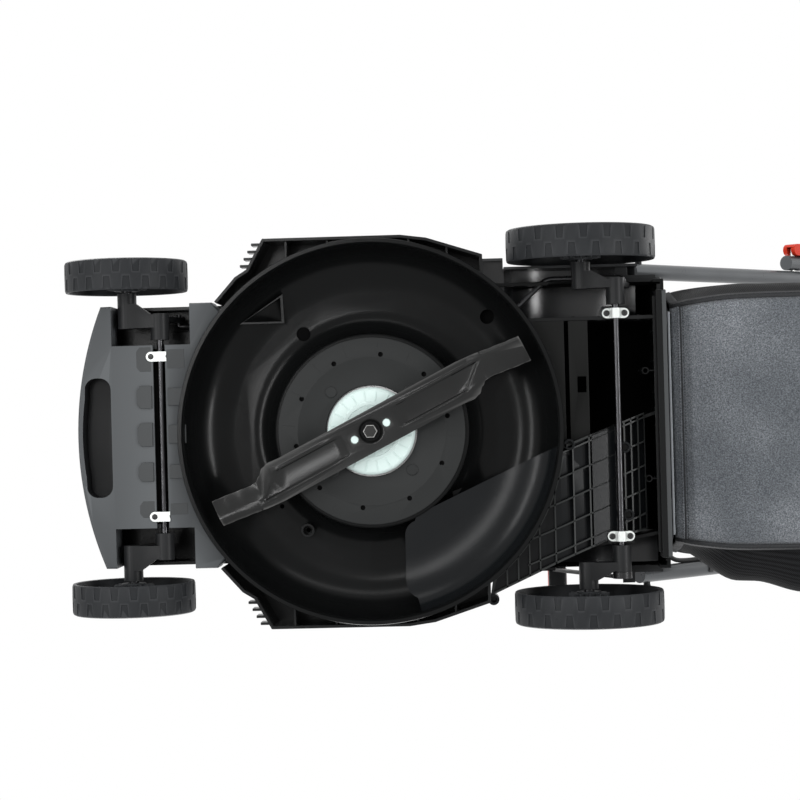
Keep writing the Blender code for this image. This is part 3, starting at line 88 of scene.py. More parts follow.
# Studio.  A pale floor that shows only from above, a white surround and soft lamps on both
# sides of the floor, because the underside faces the photographed view.  Straight and mirrored
# looks at the surround are white; light that it sheds is weaker.

FLOOR_HALF = 30.0
FLOOR_DROP = 0.0006
FLOOR_FADE = (1.0, 2.6)
SURROUND = 0.34
LEAST_WHITE = 0.5


def add_node(tree, kind, inputs=(), output=0, **settings):
    """Add a node with its settings, feed its inputs and return the output asked for."""
    made = tree.nodes.new(kind)
    for word, setting in settings.items():
        setattr(made, word, setting)
    for place, value in dict(inputs).items():
        socket = made.inputs[place]
        if isinstance(value, bpy.types.NodeSocket):
            tree.links.new(value, socket)
        elif socket.type == "RGBA":
            socket.default_value = (*value, 1)
        else:
            socket.default_value = value
    return made.outputs[output]


class Value:
    """A number that varies over a surface; arithmetic on it adds Math nodes."""

    def __init__(self, finish, socket):
        self.finish = finish
        self.socket = socket

    def __add__(self, other):
        return self.finish.node("ShaderNodeMath", {0: self, 1: other}, operation="ADD")

    def __mul__(self, other):
        return self.finish.node("ShaderNodeMath", {0: self, 1: other}, operation="MULTIPLY")

    def sine(self):
        """Its sine, for what repeats along a surface."""
        return self.finish.node("ShaderNodeMath", {0: self, 1: 0}, operation="SINE")


class Finish:
    """A surface: its shader's constants, and what varies over it."""

    def __init__(self, name, colour, roughness, **constants):
        self.material = bpy.data.materials.new(name)
        self.material.use_nodes = True
        self.tree = self.material.node_tree
        self.shader = self.tree.nodes["Principled BSDF"]
        constants.update(Base_Color=(*colour, 1), Roughness=roughness)
        for words, value in constants.items():
            self.shader.inputs[words.replace("_", " ")].default_value = value

    def node(self, kind, inputs=(), output=0, **settings):
        """Add any node to this finish and return what it gives."""
        ready = {place: value.socket if isinstance(value, Value) else value
                 for place, value in dict(inputs).items()}
        return Value(self, add_node(self.tree, kind, ready, output, **settings))

    def place(self, scale=(1, 1, 1)):
        """Where a point lies on its piece, in metres, stretched by scale."""
        spot = self.node("ShaderNodeTexCoord", output="Object")
        return self.node("ShaderNodeVectorMath", {0: spot, 1: scale}, operation="MULTIPLY")

    def along(self, axis):
        """One coordinate of a point on its piece, in metres."""
        return self.node("ShaderNodeSeparateXYZ", {0: self.place()}, axis)

    def grain(self, size, detail=2.0, stretch=(1, 1, 1), rough=0.5):
        """Noise from 0 to 1 whose blots are about size metres across."""
        return self.node("ShaderNodeTexNoise", {
            "Vector": self.place(stretch), "Scale": 1 / size, "Detail": detail,
            "Roughness": rough})

    def cells(self, size):
        """How far a point is from the middle of its cell, for cells of about size metres."""
        return self.node("ShaderNodeTexVoronoi", {"Vector": self.place(), "Scale": 1 / size},
                         "Distance")

    def between(self, value, low, high):
        """0 below low, 1 above high and smooth between them."""
        return self.node("ShaderNodeMapRange", {
            "Value": value, "From Min": low, "From Max": high}, interpolation_type="SMOOTHSTEP")

    def edge_wear_and_highlight(self, low, high):
        """How far a surface bulges out, from the shape itself: it marks worn edges, and the
        painted highlight on the tread's edges.
        """
        return self.between(self.node("ShaderNodeNewGeometry", output="Pointiness"), low, high)

    def blend(self, share, first, second):
        """A colour between two."""
        return self.node("ShaderNodeMix", {0: share, 6: first, 7: second}, 2, data_type="RGBA")

    def feed(self, socket, value):
        """Let a value that varies drive one of the shader's sockets."""
        self.tree.links.new(value.socket, self.shader.inputs[socket])

    def bump(self, height, depth):
        """Raise and lower the look of the surface by depth metres."""
        self.feed("Normal", self.node("ShaderNodeBump", {
            "Height": height, "Distance": depth, "Strength": 1.0}))


floor_paint = Finish("floor_paint", (0.86, 0.86, 0.85), 0.9, Specular_IOR_Level=0.1)
tree = floor_paint.tree
where = add_node(tree, "ShaderNodeNewGeometry", output="Position")
away = add_node(tree, "ShaderNodeVectorMath", {0: where}, "Value", operation="LENGTH")
fade = add_node(tree, "ShaderNodeMapRange", {
    "Value": away, "From Min": FLOOR_FADE[0], "From Max": FLOOR_FADE[1]},
                interpolation_type="SMOOTHSTEP")
white = add_node(tree, "ShaderNodeEmission")
swept = add_node(tree, "ShaderNodeMixShader", {0: fade, 1: floor_paint.shader.outputs[0],
                                               2: white})
facing = add_node(tree, "ShaderNodeNewGeometry", output="Backfacing")
clear = add_node(tree, "ShaderNodeBsdfTransparent")
sided = add_node(tree, "ShaderNodeMixShader", {0: facing, 1: swept, 2: clear})
tree.links.new(sided, tree.nodes["Material Output"].inputs[0])

sheet = bpy.data.meshes.new("floor")
sheet.from_pydata([(x * FLOOR_HALF, y * FLOOR_HALF, -FLOOR_DROP)
                   for x, y in ((-1, -1), (1, -1), (1, 1), (-1, 1))], [], [(0, 1, 2, 3)])
sheet.materials.append(floor_paint.material)
floor = bpy.data.objects.new("floor", sheet)
for ray in ("shadow", "diffuse", "glossy", "transmission"):
    setattr(floor, "visible_" + ray, False)
bpy.context.collection.objects.link(floor)

world = bpy.data.worlds.new("surround")
bpy.context.scene.world = world
world.use_nodes = True
tree = world.node_tree
paint = tree.nodes["Background"]
paint.inputs["Color"].default_value = (1, 1, 1, 1)
paint.inputs["Strength"].default_value = SURROUND
seen = add_node(tree, "ShaderNodeBackground", {"Color": (1, 1, 1), "Strength": 1.0})
rays = add_node(tree, "ShaderNodeLightPath").node.outputs
straight_rays = LEAST_WHITE
for ray in ("Is Camera Ray", "Is Transmission Ray", "Is Glossy Ray"):
    straight_rays = add_node(tree, "ShaderNodeMath", {0: rays[ray], 1: straight_rays},
                             operation="MAXIMUM")
pick = add_node(tree, "ShaderNodeMixShader", {0: straight_rays, 1: paint.outputs[0], 2: seen})
tree.links.new(pick, tree.nodes["World Output"].inputs[0])


def lamp(name, spot, aim, wide, tall, watts):
    """A soft box at spot, facing aim."""
    light = bpy.data.lights.new(name, "AREA")
    light.shape = "RECTANGLE"
    light.size = wide
    light.size_y = tall
    light.energy = watts
    thing = bpy.data.objects.new(name, light)
    thing.location = spot
    thing.rotation_mode = "QUATERNION"
    thing.rotation_quaternion = (Vector(aim) - Vector(spot)).to_track_quat("-Z", "Y")
    bpy.context.collection.objects.link(thing)


lamp("under_right_strip", (-1.50, 0.05, -1.28), (0.384, 0, 0.1), 1.1, 0.05, 18)
lamp("under_left_strip", (1.95, 0.1, -1.50), (0.384, 0, 0.1), 1.9, 0.12, 18)
lamp("under_front_soft", (0.90, 0.30, -2.35), (0.384, 0, 0.1), 0.9, 0.24, 9)
lamp("under_high_box", (0.3, 2.0, -1.5), (0.3, 0, 0.05), 2.2, 0.4, 9)
lamp("over_left_box", (1.6, 1.8, 2.4), (0, 0, 0.3), 1.6, 1.6, 46)
lamp("over_right_box", (0.6, -2.4, 2.0), (0, 0, 0.3), 1.8, 1.2, 40)
lamp("over_rear_box", (-2.6, 0.4, 2.2), (0, 0, 0.3), 1.4, 1.4, 28)

# Deck housing.  One moulding in black plastic: a round drum that carries the motor in its
# hub, a ring channel round it, skirts tied by ribs, a box in front and the rear body with
# the discharge tunnel.

MM = 0.001
SPINDLE_X = (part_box("blade_bolt")[0].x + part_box("blade_bolt")[1].x) / 2 / MM
RIM_Z = 38.0
DRUM_R = 216.0
DECK_TOP = 116.0
HUB_FLOOR = 79.0
HUB_R = 108.0
SKIRT_Y = 220.5
SKIRT_Z = 45.0
SKIRT_T = 3.5
WALL = 4.0
FRONT_X = 334.0
FRONT_BOW_R = 397.0
FRONT_HALF = 149.0
FRONT_LOW = 100.0
FRONT_TOP = 145.0
REAR_X = -338.0
REAR_TOP = 206.0
CHUTE_FLOOR_Z = 64.0
CHUTE_RISE = 0.37
RAMP_X = -214.0
TUNNEL_LEFT = 14.0
TUNNEL_RIGHT = -122.0


def moulded(name, colour, roughness=0.42, gloss=0.2, grain=0.0009, depth=0.00004, cloudy=0.12,
            rubs=0.6):
    """Injection-moulded plastic: fine spark grain, faint flow clouds and rubbed edges."""
    finish = Finish(name, colour, roughness, Specular_IOR_Level=gloss)
    clouds = finish.grain(0.09, 3)
    fine = finish.grain(grain, 2)
    low = tuple(c * (1 - cloudy) for c in colour)
    high = tuple(c * (1 + cloudy) + 0.001 for c in colour)
    tone = finish.blend(clouds, low, high)
    if rubs:
        rubbed = tuple(min(1, c * 1.8 + 0.010) for c in colour)
        tone = finish.blend(finish.edge_wear_and_highlight(0.51, 0.58) * rubs, tone, rubbed)
    finish.feed("Base Color", tone)
    finish.feed("Roughness", clouds * 0.16 + fine * 0.08 + (roughness - 0.12))
    finish.bump(fine, depth)
    return finish


def closed(shape):
    """Point the faces outwards."""
    shape.normal_update()
    bmesh.ops.recalc_face_normals(shape, faces=shape.faces)
    return shape


def lofted(rings, capped=True):
    """Skin rings of equal counts of points; caps close both ends."""
    shape = bmesh.new()
    rows = [[shape.verts.new(point) for point in ring] for ring in rings]
    count = len(rows[0])
    turns = list(zip(rows, rows[1:])) + ([] if capped else [(rows[-1], rows[0])])
    for lower, upper in turns:
        for i in range(count):
            j = (i + 1) % count
            shape.faces.new((lower[i], lower[j], upper[j], upper[i]))
    if capped:
        shape.faces.new(list(reversed(rows[0])))
        shape.faces.new(rows[-1])
    return closed(shape)


def prism(outline, low, high):
    """An upright block over a plan outline of (x, y)."""
    return lofted([[(x, y, z) for x, y in outline] for z in (low, high)])


def block(x, y, z):
    """A box between two values of each coordinate."""
    return prism([(x[0], y[0]), (x[1], y[0]), (x[1], y[1]), (x[0], y[1])], z[0], z[1])


def turned(profile, steps=64, centre=(0, 0, 0), axis="Z"):
    """Turn a closed outline of (radius, height) points about an axis."""
    shape = bmesh.new()
    rows = []
    for radius, height in profile:
        count = 1 if radius == 0 else steps
        rows.append([shape.verts.new((radius * cos(2 * pi * i / steps),
                                      radius * sin(2 * pi * i / steps), height))
                     for i in range(count)])
    for first, second in zip(rows, rows[1:] + rows[:1]):
        for i in range(steps):
            j = (i + 1) % steps
            if len(first) == 1 and len(second) == 1:
                continue
            if len(first) == 1:
                shape.faces.new((first[0], second[i], second[j]))
            elif len(second) == 1:
                shape.faces.new((first[i], first[j], second[0]))
            else:
                shape.faces.new((first[i], first[j], second[j], second[i]))
    if axis == "Y":
        shape.transform(Matrix.Rotation(-pi / 2, 4, "X"))
    shape.transform(Matrix.Translation(centre))
    return closed(shape)


def drum(radius, low, high, steps=32, centre=(0, 0)):
    """An upright cylinder."""
    return turned([(0, low), (radius, low), (radius, high), (0, high)], steps,
                  (centre[0], centre[1], 0))


def arc(centre, radius, start, end, steps):
    """Points of an arc in the plane; angles in degrees, radius one number or two."""
    wide, tall = radius if isinstance(radius, tuple) else (radius, radius)
    angles = [radians(start + (end - start) * i / steps) for i in range(steps + 1)]
    return [(centre[0] + wide * cos(a), centre[1] + tall * sin(a)) for a in angles]


def joined(*shapes):
    """Shapes side by side in one mesh."""
    whole = bmesh.new()
    for shape in shapes:
        scrap = bpy.data.meshes.new("scrap")
        shape.to_mesh(scrap)
        whole.from_mesh(scrap)
        bpy.data.meshes.remove(scrap)
    return whole


def drums(radius, low, high, steps, spots):
    """The same cylinder at several spots."""
    return joined(*[drum(radius, low, high, steps, spot) for spot in spots])


def mirrored(shape, side=-1):
    """The same shape on the machine's other side, or as it is for the left side."""
    if side > 0:
        return shape
    twin = shape.copy()
    twin.transform(Matrix.Scale(-1, 4, (0, 1, 0)))
    return closed(twin)


def both_sides(shape):
    """A left-hand shape with its right-hand twin."""
    return joined(shape, mirrored(shape))


def wall_along(route, thickness, low, high):
    """An upright wall whose outer face follows a plan path, its body on the path's left."""
    inner = []
    for i, point in enumerate(route):
        here = Vector(point)
        first = here - Vector(route[i - 1]) if i else Vector(route[1]) - here
        second = Vector(route[i + 1]) - here if i < len(route) - 1 else first
        first = first.normalized()
        second = second.normalized()
        normal = Vector((-first.y - second.y, first.x + second.x)).normalized()
        inner.append(tuple(here + normal * thickness / cos(first.angle(second) / 2)))
    return prism(list(route) + inner[::-1], low, high)


def bench(shape):
    """A plain object that holds a shape while it is being worked."""
    mesh = bpy.data.meshes.new("bench")
    shape.to_mesh(mesh)
    thing = bpy.data.objects.new("bench", mesh)
    bpy.context.collection.objects.link(thing)
    return thing


def worked(shape, *steps):
    """Cut shapes from, or weld shapes to, the first one with exact Booleans."""
    base = bench(shape)
    for operation, tool in steps:
        other = bench(tool)
        step = base.modifiers.new("step", "BOOLEAN")
        step.operation = {"cut": "DIFFERENCE", "weld": "UNION", "keep": "INTERSECT"}[operation]
        step.object = other
        step.solver = "EXACT"
        bpy.context.view_layer.update()
        ready = base.evaluated_get(bpy.context.evaluated_depsgraph_get())
        mesh = bpy.data.meshes.new_from_object(ready)
        base.modifiers.clear()
        base.data = mesh
        bpy.data.objects.remove(other)
    result = bmesh.new()
    result.from_mesh(base.data)
    bpy.data.objects.remove(base)
    bmesh.ops.remove_doubles(result, verts=result.verts, dist=0.002)
    bmesh.ops.dissolve_limit(result, angle_limit=radians(0.4), verts=result.verts,
                             edges=result.edges)
    return result


def piece(name, shape, finish, body, stands_for=(), edge=0.0, smooth=38, steps=2):
    """Put a worked shape into the scene, finished and riding on its body."""
    mesh = bpy.data.meshes.new(name)
    shape.transform(Matrix.Scale(MM, 4) @ Matrix.Translation((SPINDLE_X, 0, 0)))
    shape.to_mesh(mesh)
    shape.free()
    mesh.shade_smooth()
    mesh.set_sharp_from_angle(angle=radians(smooth))
    mesh.materials.append(finish.material)
    thing = bpy.data.objects.new(name, mesh)
    bpy.context.collection.objects.link(thing)
    if edge:
        soft = thing.modifiers.new("rounded_edges", "BEVEL")
        soft.width = edge * MM
        soft.segments = steps
        soft.limit_method = "ANGLE"
        soft.angle_limit = radians(smooth)
        soft.harden_normals = True
        soft.use_clamp_overlap = True
        soft.miter_outer = "MITER_ARC"
    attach(thing, body)
    if stands_for:
        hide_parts(*stands_for)
    return thing


deck_black = moulded("deck_black", (0.0052, 0.0055, 0.0057), 0.22, 0.11, cloudy=0.10)
DRUM_STEPS = 192
drum_profile = [(217.2, RIM_Z), (217.6, RIM_Z + 0.8), (217.2, RIM_Z + 2.6), (DRUM_R, RIM_Z + 3.4),
                (DRUM_R, 107)]
drum_profile += arc((DRUM_R - 8, 108), 8, 0, 90, 5) + [(HUB_R - WALL, DECK_TOP),
                                                        (HUB_R - WALL, HUB_FLOOR + WALL)]
drum_profile += [(53, HUB_FLOOR + WALL), (53, HUB_FLOOR), (HUB_R + 1.5, HUB_FLOOR),
                 (HUB_R + 3, HUB_FLOOR + 1)]
drum_profile += arc((141, 85), (30, 27), 180, 90, 10) + arc((161, 66), (50, 46), 90, 0, 14)
drum_profile += [(211.2, RIM_Z + 8), (212.2, RIM_Z + 2), (213.2, RIM_Z)]

chute_low = CHUTE_FLOOR_Z - 0.6
tunnel_mouth = REAR_X - 4
tunnel_lift = (RAMP_X - tunnel_mouth) * CHUTE_RISE
shelf_plan = [(-90, -72), (-96, -176), (-134, -166), (RAMP_X - 2, -140), (RAMP_X - 2, -31)]
shelf_cut = prism(shelf_plan, chute_low, DECK_TOP - 10)
ramp_plan = [(RAMP_X + 1, -141), (tunnel_mouth, TUNNEL_RIGHT + 1), (tunnel_mouth, TUNNEL_LEFT - 1),
             (RAMP_X + 1, -30)]
ramp_cut = lofted([[(x, y, chute_low + (tunnel_lift if x < RAMP_X - 9 else 0))
                    for x, y in ramp_plan],
                   [(x, y, REAR_TOP - 22 if x < RAMP_X - 9 else DECK_TOP - 10)
                    for x, y in ramp_plan]])
shaded_hole_spots = ((78, 114), (-135, 128))
drum_ready = worked(turned(drum_profile, DRUM_STEPS), ("cut", shelf_cut),
                    ("cut", ramp_cut.copy()),
                    ("cut", joined(drums(8.2, 84, 125, 32, shaded_hole_spots),
                                   drums(2.6, 84, 125, 16, ((78, -113), (108, -85))))))
drum_black = moulded("drum_black", (0.0040, 0.0043, 0.0044), 0.20, 0.10, cloudy=0.12, rubs=0)
piece("deck_drum", drum_ready, drum_black, "mower", ["deck_housing"], 0, 32)

# The bosses, nubs and little walls that stand on the drum, where the photograph has them.
eye = worked(drum(7.8, 99, 115, 28, (78, -113)), ("cut", drum(5.2, 96, 120, 24, (78, -113))))
small_walls = worked(prism([(151, 126.5), (100, 160.5), (98.5, 126.5)], 97, 115.5),
                     ("cut", prism([(146, 129), (103, 156), (102, 129)], 90, 130)))
nubs = drums(2.4, 62, 112, 14, ((-191, 103), (-202, 84), (-208, 65), (-214, 44), (-217, 23),
                                (-219, -2), (-219, -22)))
piece("deck_bosses", joined(eye, small_walls, nubs), deck_black, "mower", (),
      0.35, 38)

skirt_route = [(173, 151), (149, 178), (136, 186), (117, SKIRT_Y), (-39, SKIRT_Y),
               (-68, SKIRT_Y - 4), (-131, 196), (-131, 172)]
skirts = [wall_along(skirt_route, SKIRT_T, SKIRT_Z, DECK_TOP - 2)]
for x in (91, 44, 1, -48, -91):
    reach = SKIRT_Y - 1.5 if x > -68 else SKIRT_Y - 11
    skirts.append(block((x - 1.3, x + 1.3), (sqrt(DRUM_R ** 2 - x ** 2) - 1, reach),
                        (SKIRT_Z + 6, DECK_TOP - 3)))
for i in range(4):
    y = 190 + 8 * i
    x = 117 + (SKIRT_Y - y) * 0.55
    skirts.append(block((x - 3, x + 9), (y - 1.5, y + 1.5), (SKIRT_Z + 0.5, SKIRT_Z + 22)))
skirt_top = prism(skirt_route + [(x, -y) for x, y in reversed(skirt_route)], DECK_TOP - 3.6,
                  DECK_TOP - 0.4)
skirt_top = worked(skirt_top, ("cut", drum(DRUM_R - 4, 90, 130, 96)))
piece("deck_skirts", joined(both_sides(joined(*skirts)), skirt_top), deck_black, "mower",
      (), 0.5, 30)


def front_bow(inset, half, steps=28):
    """The bowed front edge from the right side to the left, as plan points."""
    radius = FRONT_BOW_R - inset
    reach = degrees(atan2(half, sqrt(radius ** 2 - half ** 2)))
    return arc((FRONT_X - FRONT_BOW_R, 0), radius, -reach, reach, steps)


def around_drum(radius, half, steps=28):
    """The drum's front arc from the left side to the right."""
    reach = degrees(atan2(half, sqrt(radius ** 2 - half ** 2)))
    return arc((0, 0), radius, reach, -reach, steps)


def rounded_top(shape, width, steps=5):
    """Round the rim of a shape's top."""
    top = max(vertex.co.z for vertex in shape.verts)
    rim = [e for e in shape.edges if all(abs(v.co.z - top) < 1e-6 for v in e.verts)]
    bmesh.ops.bevel(shape, geom=rim, offset=width, segments=steps, profile=0.5,
                    affect="EDGES", clamp_overlap=True)
    return closed(shape)


front_plan = front_bow(0, FRONT_HALF) + around_drum(DRUM_R - 3, FRONT_HALF)
front_hollow = front_bow(3.5, FRONT_HALF - WALL) + around_drum(DRUM_R + WALL, FRONT_HALF - WALL)
front_box = worked(rounded_top(prism(front_plan, FRONT_LOW, FRONT_TOP), 9),
                   ("cut", prism(front_hollow, FRONT_LOW - 5, FRONT_TOP - WALL)),
                   ("cut", block((140, 250), (121.5, 135),
                                 (DECK_TOP + 1, FRONT_TOP - WALL + 1.5))),
                   ("cut", block((164, 250), (121.5, 135), (DECK_TOP - 9, DECK_TOP + 5))))
piece("deck_front_box", front_box, deck_black, "mower", (), 0.5, 36)

# Rear body.  The hollow block behind the drum, moulded in one with it: the discharge tunnel
# runs through it to the bag, and ribs and seats inside it carry the rear axle.

REAR_HALF = 166.0
REAR_BOTTOM = 100.0
REAR_ROD = (-281.0, 78.0)
deck_shade = moulded("deck_shade", (0.0022, 0.0022, 0.0023), 0.75, 0.0, 0.0012, 0.00008, 0.20)


def paint_inner_shade(thing, finish, low):
    """Give the faces that look down from above a height a second finish: near-black painted shade
    for the unlit inside.
    """
    thing.data.materials.append(finish.material)
    for face in thing.data.polygons:
        if face.normal.z < -0.5 and face.center.z > low * MM:
            face.material_index = 1


def side_prism(outline, right, left):
    """A block across the machine over a side outline of (x, z)."""
    return lofted([[(x, y, z) for x, z in outline] for y in (right, left)])


rear_front = -122.0
rear_outer = [(rear_front, REAR_BOTTOM), (rear_front, 113), (-126, 180), (-128, 190),
              (-133, 199), (-141, 204.5), (-150, REAR_TOP), (-322, REAR_TOP), (-330, 204),
              (-335.5, 199), (REAR_X, 191), (REAR_X, REAR_BOTTOM)]
rear_hollow = [(-127, 95), (-127, 110), (-130, 180), (-134, 192), (-144, 200.5), (-152, 202),
               (-320, 202), (-329, 199), (-334, 189), (-334, 95)]
link_slot = block((-215, -110), (123.5, 190), (DECK_TOP + 1, 152))
rear_body = worked(
    side_prism(rear_outer, -REAR_HALF, REAR_HALF),
    ("cut", side_prism(rear_hollow, -REAR_HALF + WALL, REAR_HALF - WALL)),
    ("cut", drum(DRUM_R - 5, RIM_Z, 230, 128)),
    ("cut", both_sides(block((-326, -206), (REAR_HALF - 14, REAR_HALF + 8), (92, 152)))),
    ("cut", link_slot.copy()),
    ("cut", ramp_cut))
# Near-black discs close the two bores from above: painted shade, so that they read as deep holes.
piece("deck_hole_shade_discs", drums(8.6, 113.6, 116.4, 32, shaded_hole_spots), deck_shade, "mower",
      (), 0.2, 30)
# The roof's inside, where it looks down above 150 mm, is painted shade.
paint_inner_shade(piece("deck_rear_body", rear_body, drum_black, "mower", (), 0.6, 30),
       deck_shade, 150)

# The rear body's front wall stands on the drum and follows its round, up to the roof.
bow_reach = 90 + degrees(atan2(122, sqrt(DRUM_R ** 2 - 122 ** 2)))
wall_plan = arc((0, 0), DRUM_R - 6, bow_reach, 360 - bow_reach, 64) + \
    arc((0, 0), DRUM_R - 2.5, 360 - bow_reach, bow_reach, 64)
front_wall = worked(prism(wall_plan, DECK_TOP - 2, REAR_TOP - 1),
                    ("keep", side_prism(rear_outer, -REAR_HALF + 0.5, REAR_HALF - 0.5)),
                    ("cut", link_slot))
piece("deck_rear_front_wall", front_wall, drum_black, "mower", (), 0, 40)

deck_gloss = moulded("deck_gloss", (0.009, 0.0095, 0.0105), 0.22, 0.34, cloudy=0.06)
inner_top = REAR_TOP - 2
inner_rear = REAR_X + 2
tunnel_walls = [
    prism([(-204, -31), (inner_rear, TUNNEL_LEFT), (inner_rear, TUNNEL_LEFT + 4), (-204, -27)],
          109, inner_top),
    prism([(-138, -160), (inner_rear, TUNNEL_RIGHT - 4), (inner_rear, TUNNEL_RIGHT),
           (-138, -156)], 109, inner_top),
    worked(block((-334, -178), (120, 124), (84, inner_top)),
           ("cut", block((-300, -262), (110, 130), (78, 83)))),
    block((-334, -330), (124, 160), (100, inner_top))]
for side in (1, -1):
    ends = sorted((side * 121, side * 135))
    tunnel_walls.append(block((REAR_ROD[0] - 15, REAR_ROD[0] + 15), ends, (82.3, 96)))
    for x in (REAR_ROD[0] - 13.5, REAR_ROD[0], REAR_ROD[0] + 13.5):
        tunnel_walls.append(block((x - 1.2, x + 1.2), ends, (95, inner_top)))
for x in (-233, -262, -307):
    tunnel_walls.append(drum(3.0, 86, 150, 16, (x, 122)))
for y in (107, 72, 36, 18, -2):
    tunnel_walls.append(block((-335, -324), (y - 0.8, y + 0.8), (101, 170)))
for x, y in ((-315, 61), (-316, -63)):
    tunnel_walls.append(worked(drum(4.2, 103, 160, 24, (x, y)),
                               ("cut", drum(2.6, 95, 170, 20, (x, y)))))
    tunnel_walls.append(block((-335, x - 3.5), (y - 0.9, y + 0.9), (105, 150)))
piece("deck_inner_ribs", joined(*tunnel_walls), deck_black, "mower", (), 0.35, 30)

floor_plate = worked(
    prism([(-200, -22), (-222, -20), (-222, 120), (-178, 120)], 84, 87),
    ("weld", prism([(-227, -18), (-249, -12), (-249, 120), (-227, 120)], 86, 89)),
    ("cut", block((-246, -236), (38, 56), (80, 95))), ("cut", drum(DRUM_R - 2, 70, 100, 128)))
piece("deck_floor_panels", floor_plate, moulded("panel_dull", (0.0050, 0.0052, 0.0050), 0.5, 0.08),
      "mower", (), 0.4, 30)

liner_rows = []
for i in range(33):
    x = -126 - 6.3 * i
    z = 150 + 22 * cos(radians((x + 188) * 1.35)) if x > -255 else 150 + 22 * cos(radians(90.4))
    liner_rows.append([(x, -124, z + 3), (x, -161, z - 3 - 0.05 * max(0, x + 188)),
                       (x, -161, z + 1), (x, -124, z + 6)])
piece("deck_right_liner", lofted(liner_rows), deck_gloss, "mower", (), 0, 40)

# The left wheel's arch: a smooth shell over the crank, wider ahead of the wheel.
arch_rows = []
for x in [-128, -140, -151, -154.9, -155] + [-156 - 155 * i / 40 for i in range(41)]:
    lean = (min(x, -156) + 250) / 104
    z = 118 + 70 * sqrt(1 - lean * lean)
    out = 197.0 if x > -155 else 184.0
    out += 2.6 if x < -155 else 0
    arch_rows.append([(x, 124, z + 2), (x, out - 3, z), (x, out - 3, 132), (x, out, 132),
                      (x, out, z + 2.6), (x, 124, z + 5)])
arch_gloss = moulded("arch_gloss", (0.014, 0.0148, 0.0160), 0.22, 0.44, cloudy=0.06)
piece("deck_left_arch", lofted(arch_rows), arch_gloss, "mower", (), 0, 34)

# Front apron.  A charcoal tray screwed under the front of the deck, with a carrying slot
# moulded into it, two wells for the front cranks and raised pads along the axle.

FRONT_ROD = (238.0, 63.0)
APRON_Z = 57.0
APRON_TOP = 99.7
WELL_Y = 104.0
WELL_FRONT = 293.0
WELL_REAR = 203.0
apron_grey = moulded("apron_grey", (0.060, 0.0645, 0.068), 0.42, 0.18, 0.0008, 0.00003, 0.07)
# This colour is darker than the tray's: painted shade on the pads, and a painted highlight on the
# rear beam's edge.
pad_shade_and_beam_highlight = moulded("pad_shade_and_beam_highlight", (0.034, 0.0362, 0.0375), 0.44, 0.16, 0.0008, 0.00003, 0.07)
crank_black = moulded("crank_black", (0.0090, 0.0095, 0.0102), 0.40, 0.16, 0.0008, 0.00004, 0.08)
apron_rear = FRONT_HALF + 2
lobe = [(WELL_REAR, apron_rear), (178, apron_rear)]
apron_plan = front_bow(0, FRONT_HALF) + lobe + around_drum(DRUM_R + 2, FRONT_HALF - 10) + \
    [(x, -y) for x, y in lobe[::-1]]
apron_hollow = front_bow(4, FRONT_HALF - 4) + around_drum(DRUM_R + 6, FRONT_HALF - 13)
apron = prism(apron_plan, -APRON_TOP, -APRON_Z)
apron = rounded_top(apron, 3.0, 3)
apron.transform(Matrix.Scale(-1, 4, (0, 0, 1)))
closed(apron)
SLOT_HALF = 68.0
grip_plan = arc((295 + 13, -SLOT_HALF + 13), 13, 180, 270, 6) + \
    arc((312, -SLOT_HALF + 13), 13, 275, 345, 6) + \
    [(328.2 - y * y / 620, y) for y in range(-44, 0, 4)]
grip_plan = grip_plan + [(x, -y) for x, y in reversed(grip_plan)]
axle_x = FRONT_ROD[0]
apron = worked(
    apron,
    ("cut", prism(apron_hollow, APRON_Z + 4, APRON_TOP + 5)),
    ("weld", both_sides(block((WELL_REAR - 4, WELL_FRONT + 4), (WELL_Y - 4, FRONT_HALF - 1),
                              (APRON_Z + 1, APRON_TOP - 1)))),
    ("cut", both_sides(block((WELL_REAR, WELL_FRONT), (WELL_Y, FRONT_HALF + 10), (50, 105)))),
    ("cut", block((axle_x - 6, axle_x + 8), (-WELL_Y - 5, WELL_Y + 5), (50, 67.3))),
    ("cut", prism(grip_plan, 50, 70)))
piece("front_apron_shell", apron, apron_grey, "mower", ["front_apron"], 0.8, 34)

# The cup behind the carrying slot, a dark slab of painted shade in the axle's channel, and the
# raised pads, darkened with painted shade.
cup = worked(prism([(x + (2.5 if x > 300 else -2.5), y * 1.03) for x, y in grip_plan], 58, 92),
             ("cut", prism(grip_plan, 50, 88)))
piece("front_apron_cup", cup, crank_black, "mower", (), 0.6, 34)
piece("front_axle_channel_shade", block((axle_x - 8, axle_x + 10), (-WELL_Y, WELL_Y), (70, 73)),
      deck_shade, "mower", (), 0.3, 34)
pads = []
pad_plan = ((102, 74), (58, 32), (16, -11), (-29, -51), (-73, -92))
for high, low in pad_plan:
    drop = 0.25 if abs(high + low) > 140 else 2.2
    for x0, x1, inset in ((axle_x + 10, 265, 0), (206, axle_x - 8, 3)):
        pads.append(prism([(x0, low), (x1 - 4, low), (x1, low + 5), (x1, high - 5),
                           (x1 - 4, high), (x0, high)] if x1 > 240 else
                          [(x1, low + inset), (x1, high - inset), (x0 + 4, high - inset),
                           (x0 + 4, low + inset)], APRON_Z - drop, APRON_Z + 1))
pads.append(block((224, 264), (-1.3, 6.3), (56.4, 58)))
pads = worked(joined(*pads), ("cut", drums(2.6, 50, 66, 18,
                                           [(227, y) for y in (66, 23, -20, -63)])))
piece("front_apron_pads", pads, pad_shade_and_beam_highlight, "mower", (), 0.7, 34)

# Chute floor.  A separate blue-black insert: its front lies in the drum as part of the ring
# channel, and behind the rim it becomes the ribbed ramp that leads into the bag.

chute_blue = moulded("chute_blue", (0.0050, 0.0058, 0.0066), 0.22, 0.14, cloudy=0.08, rubs=0)
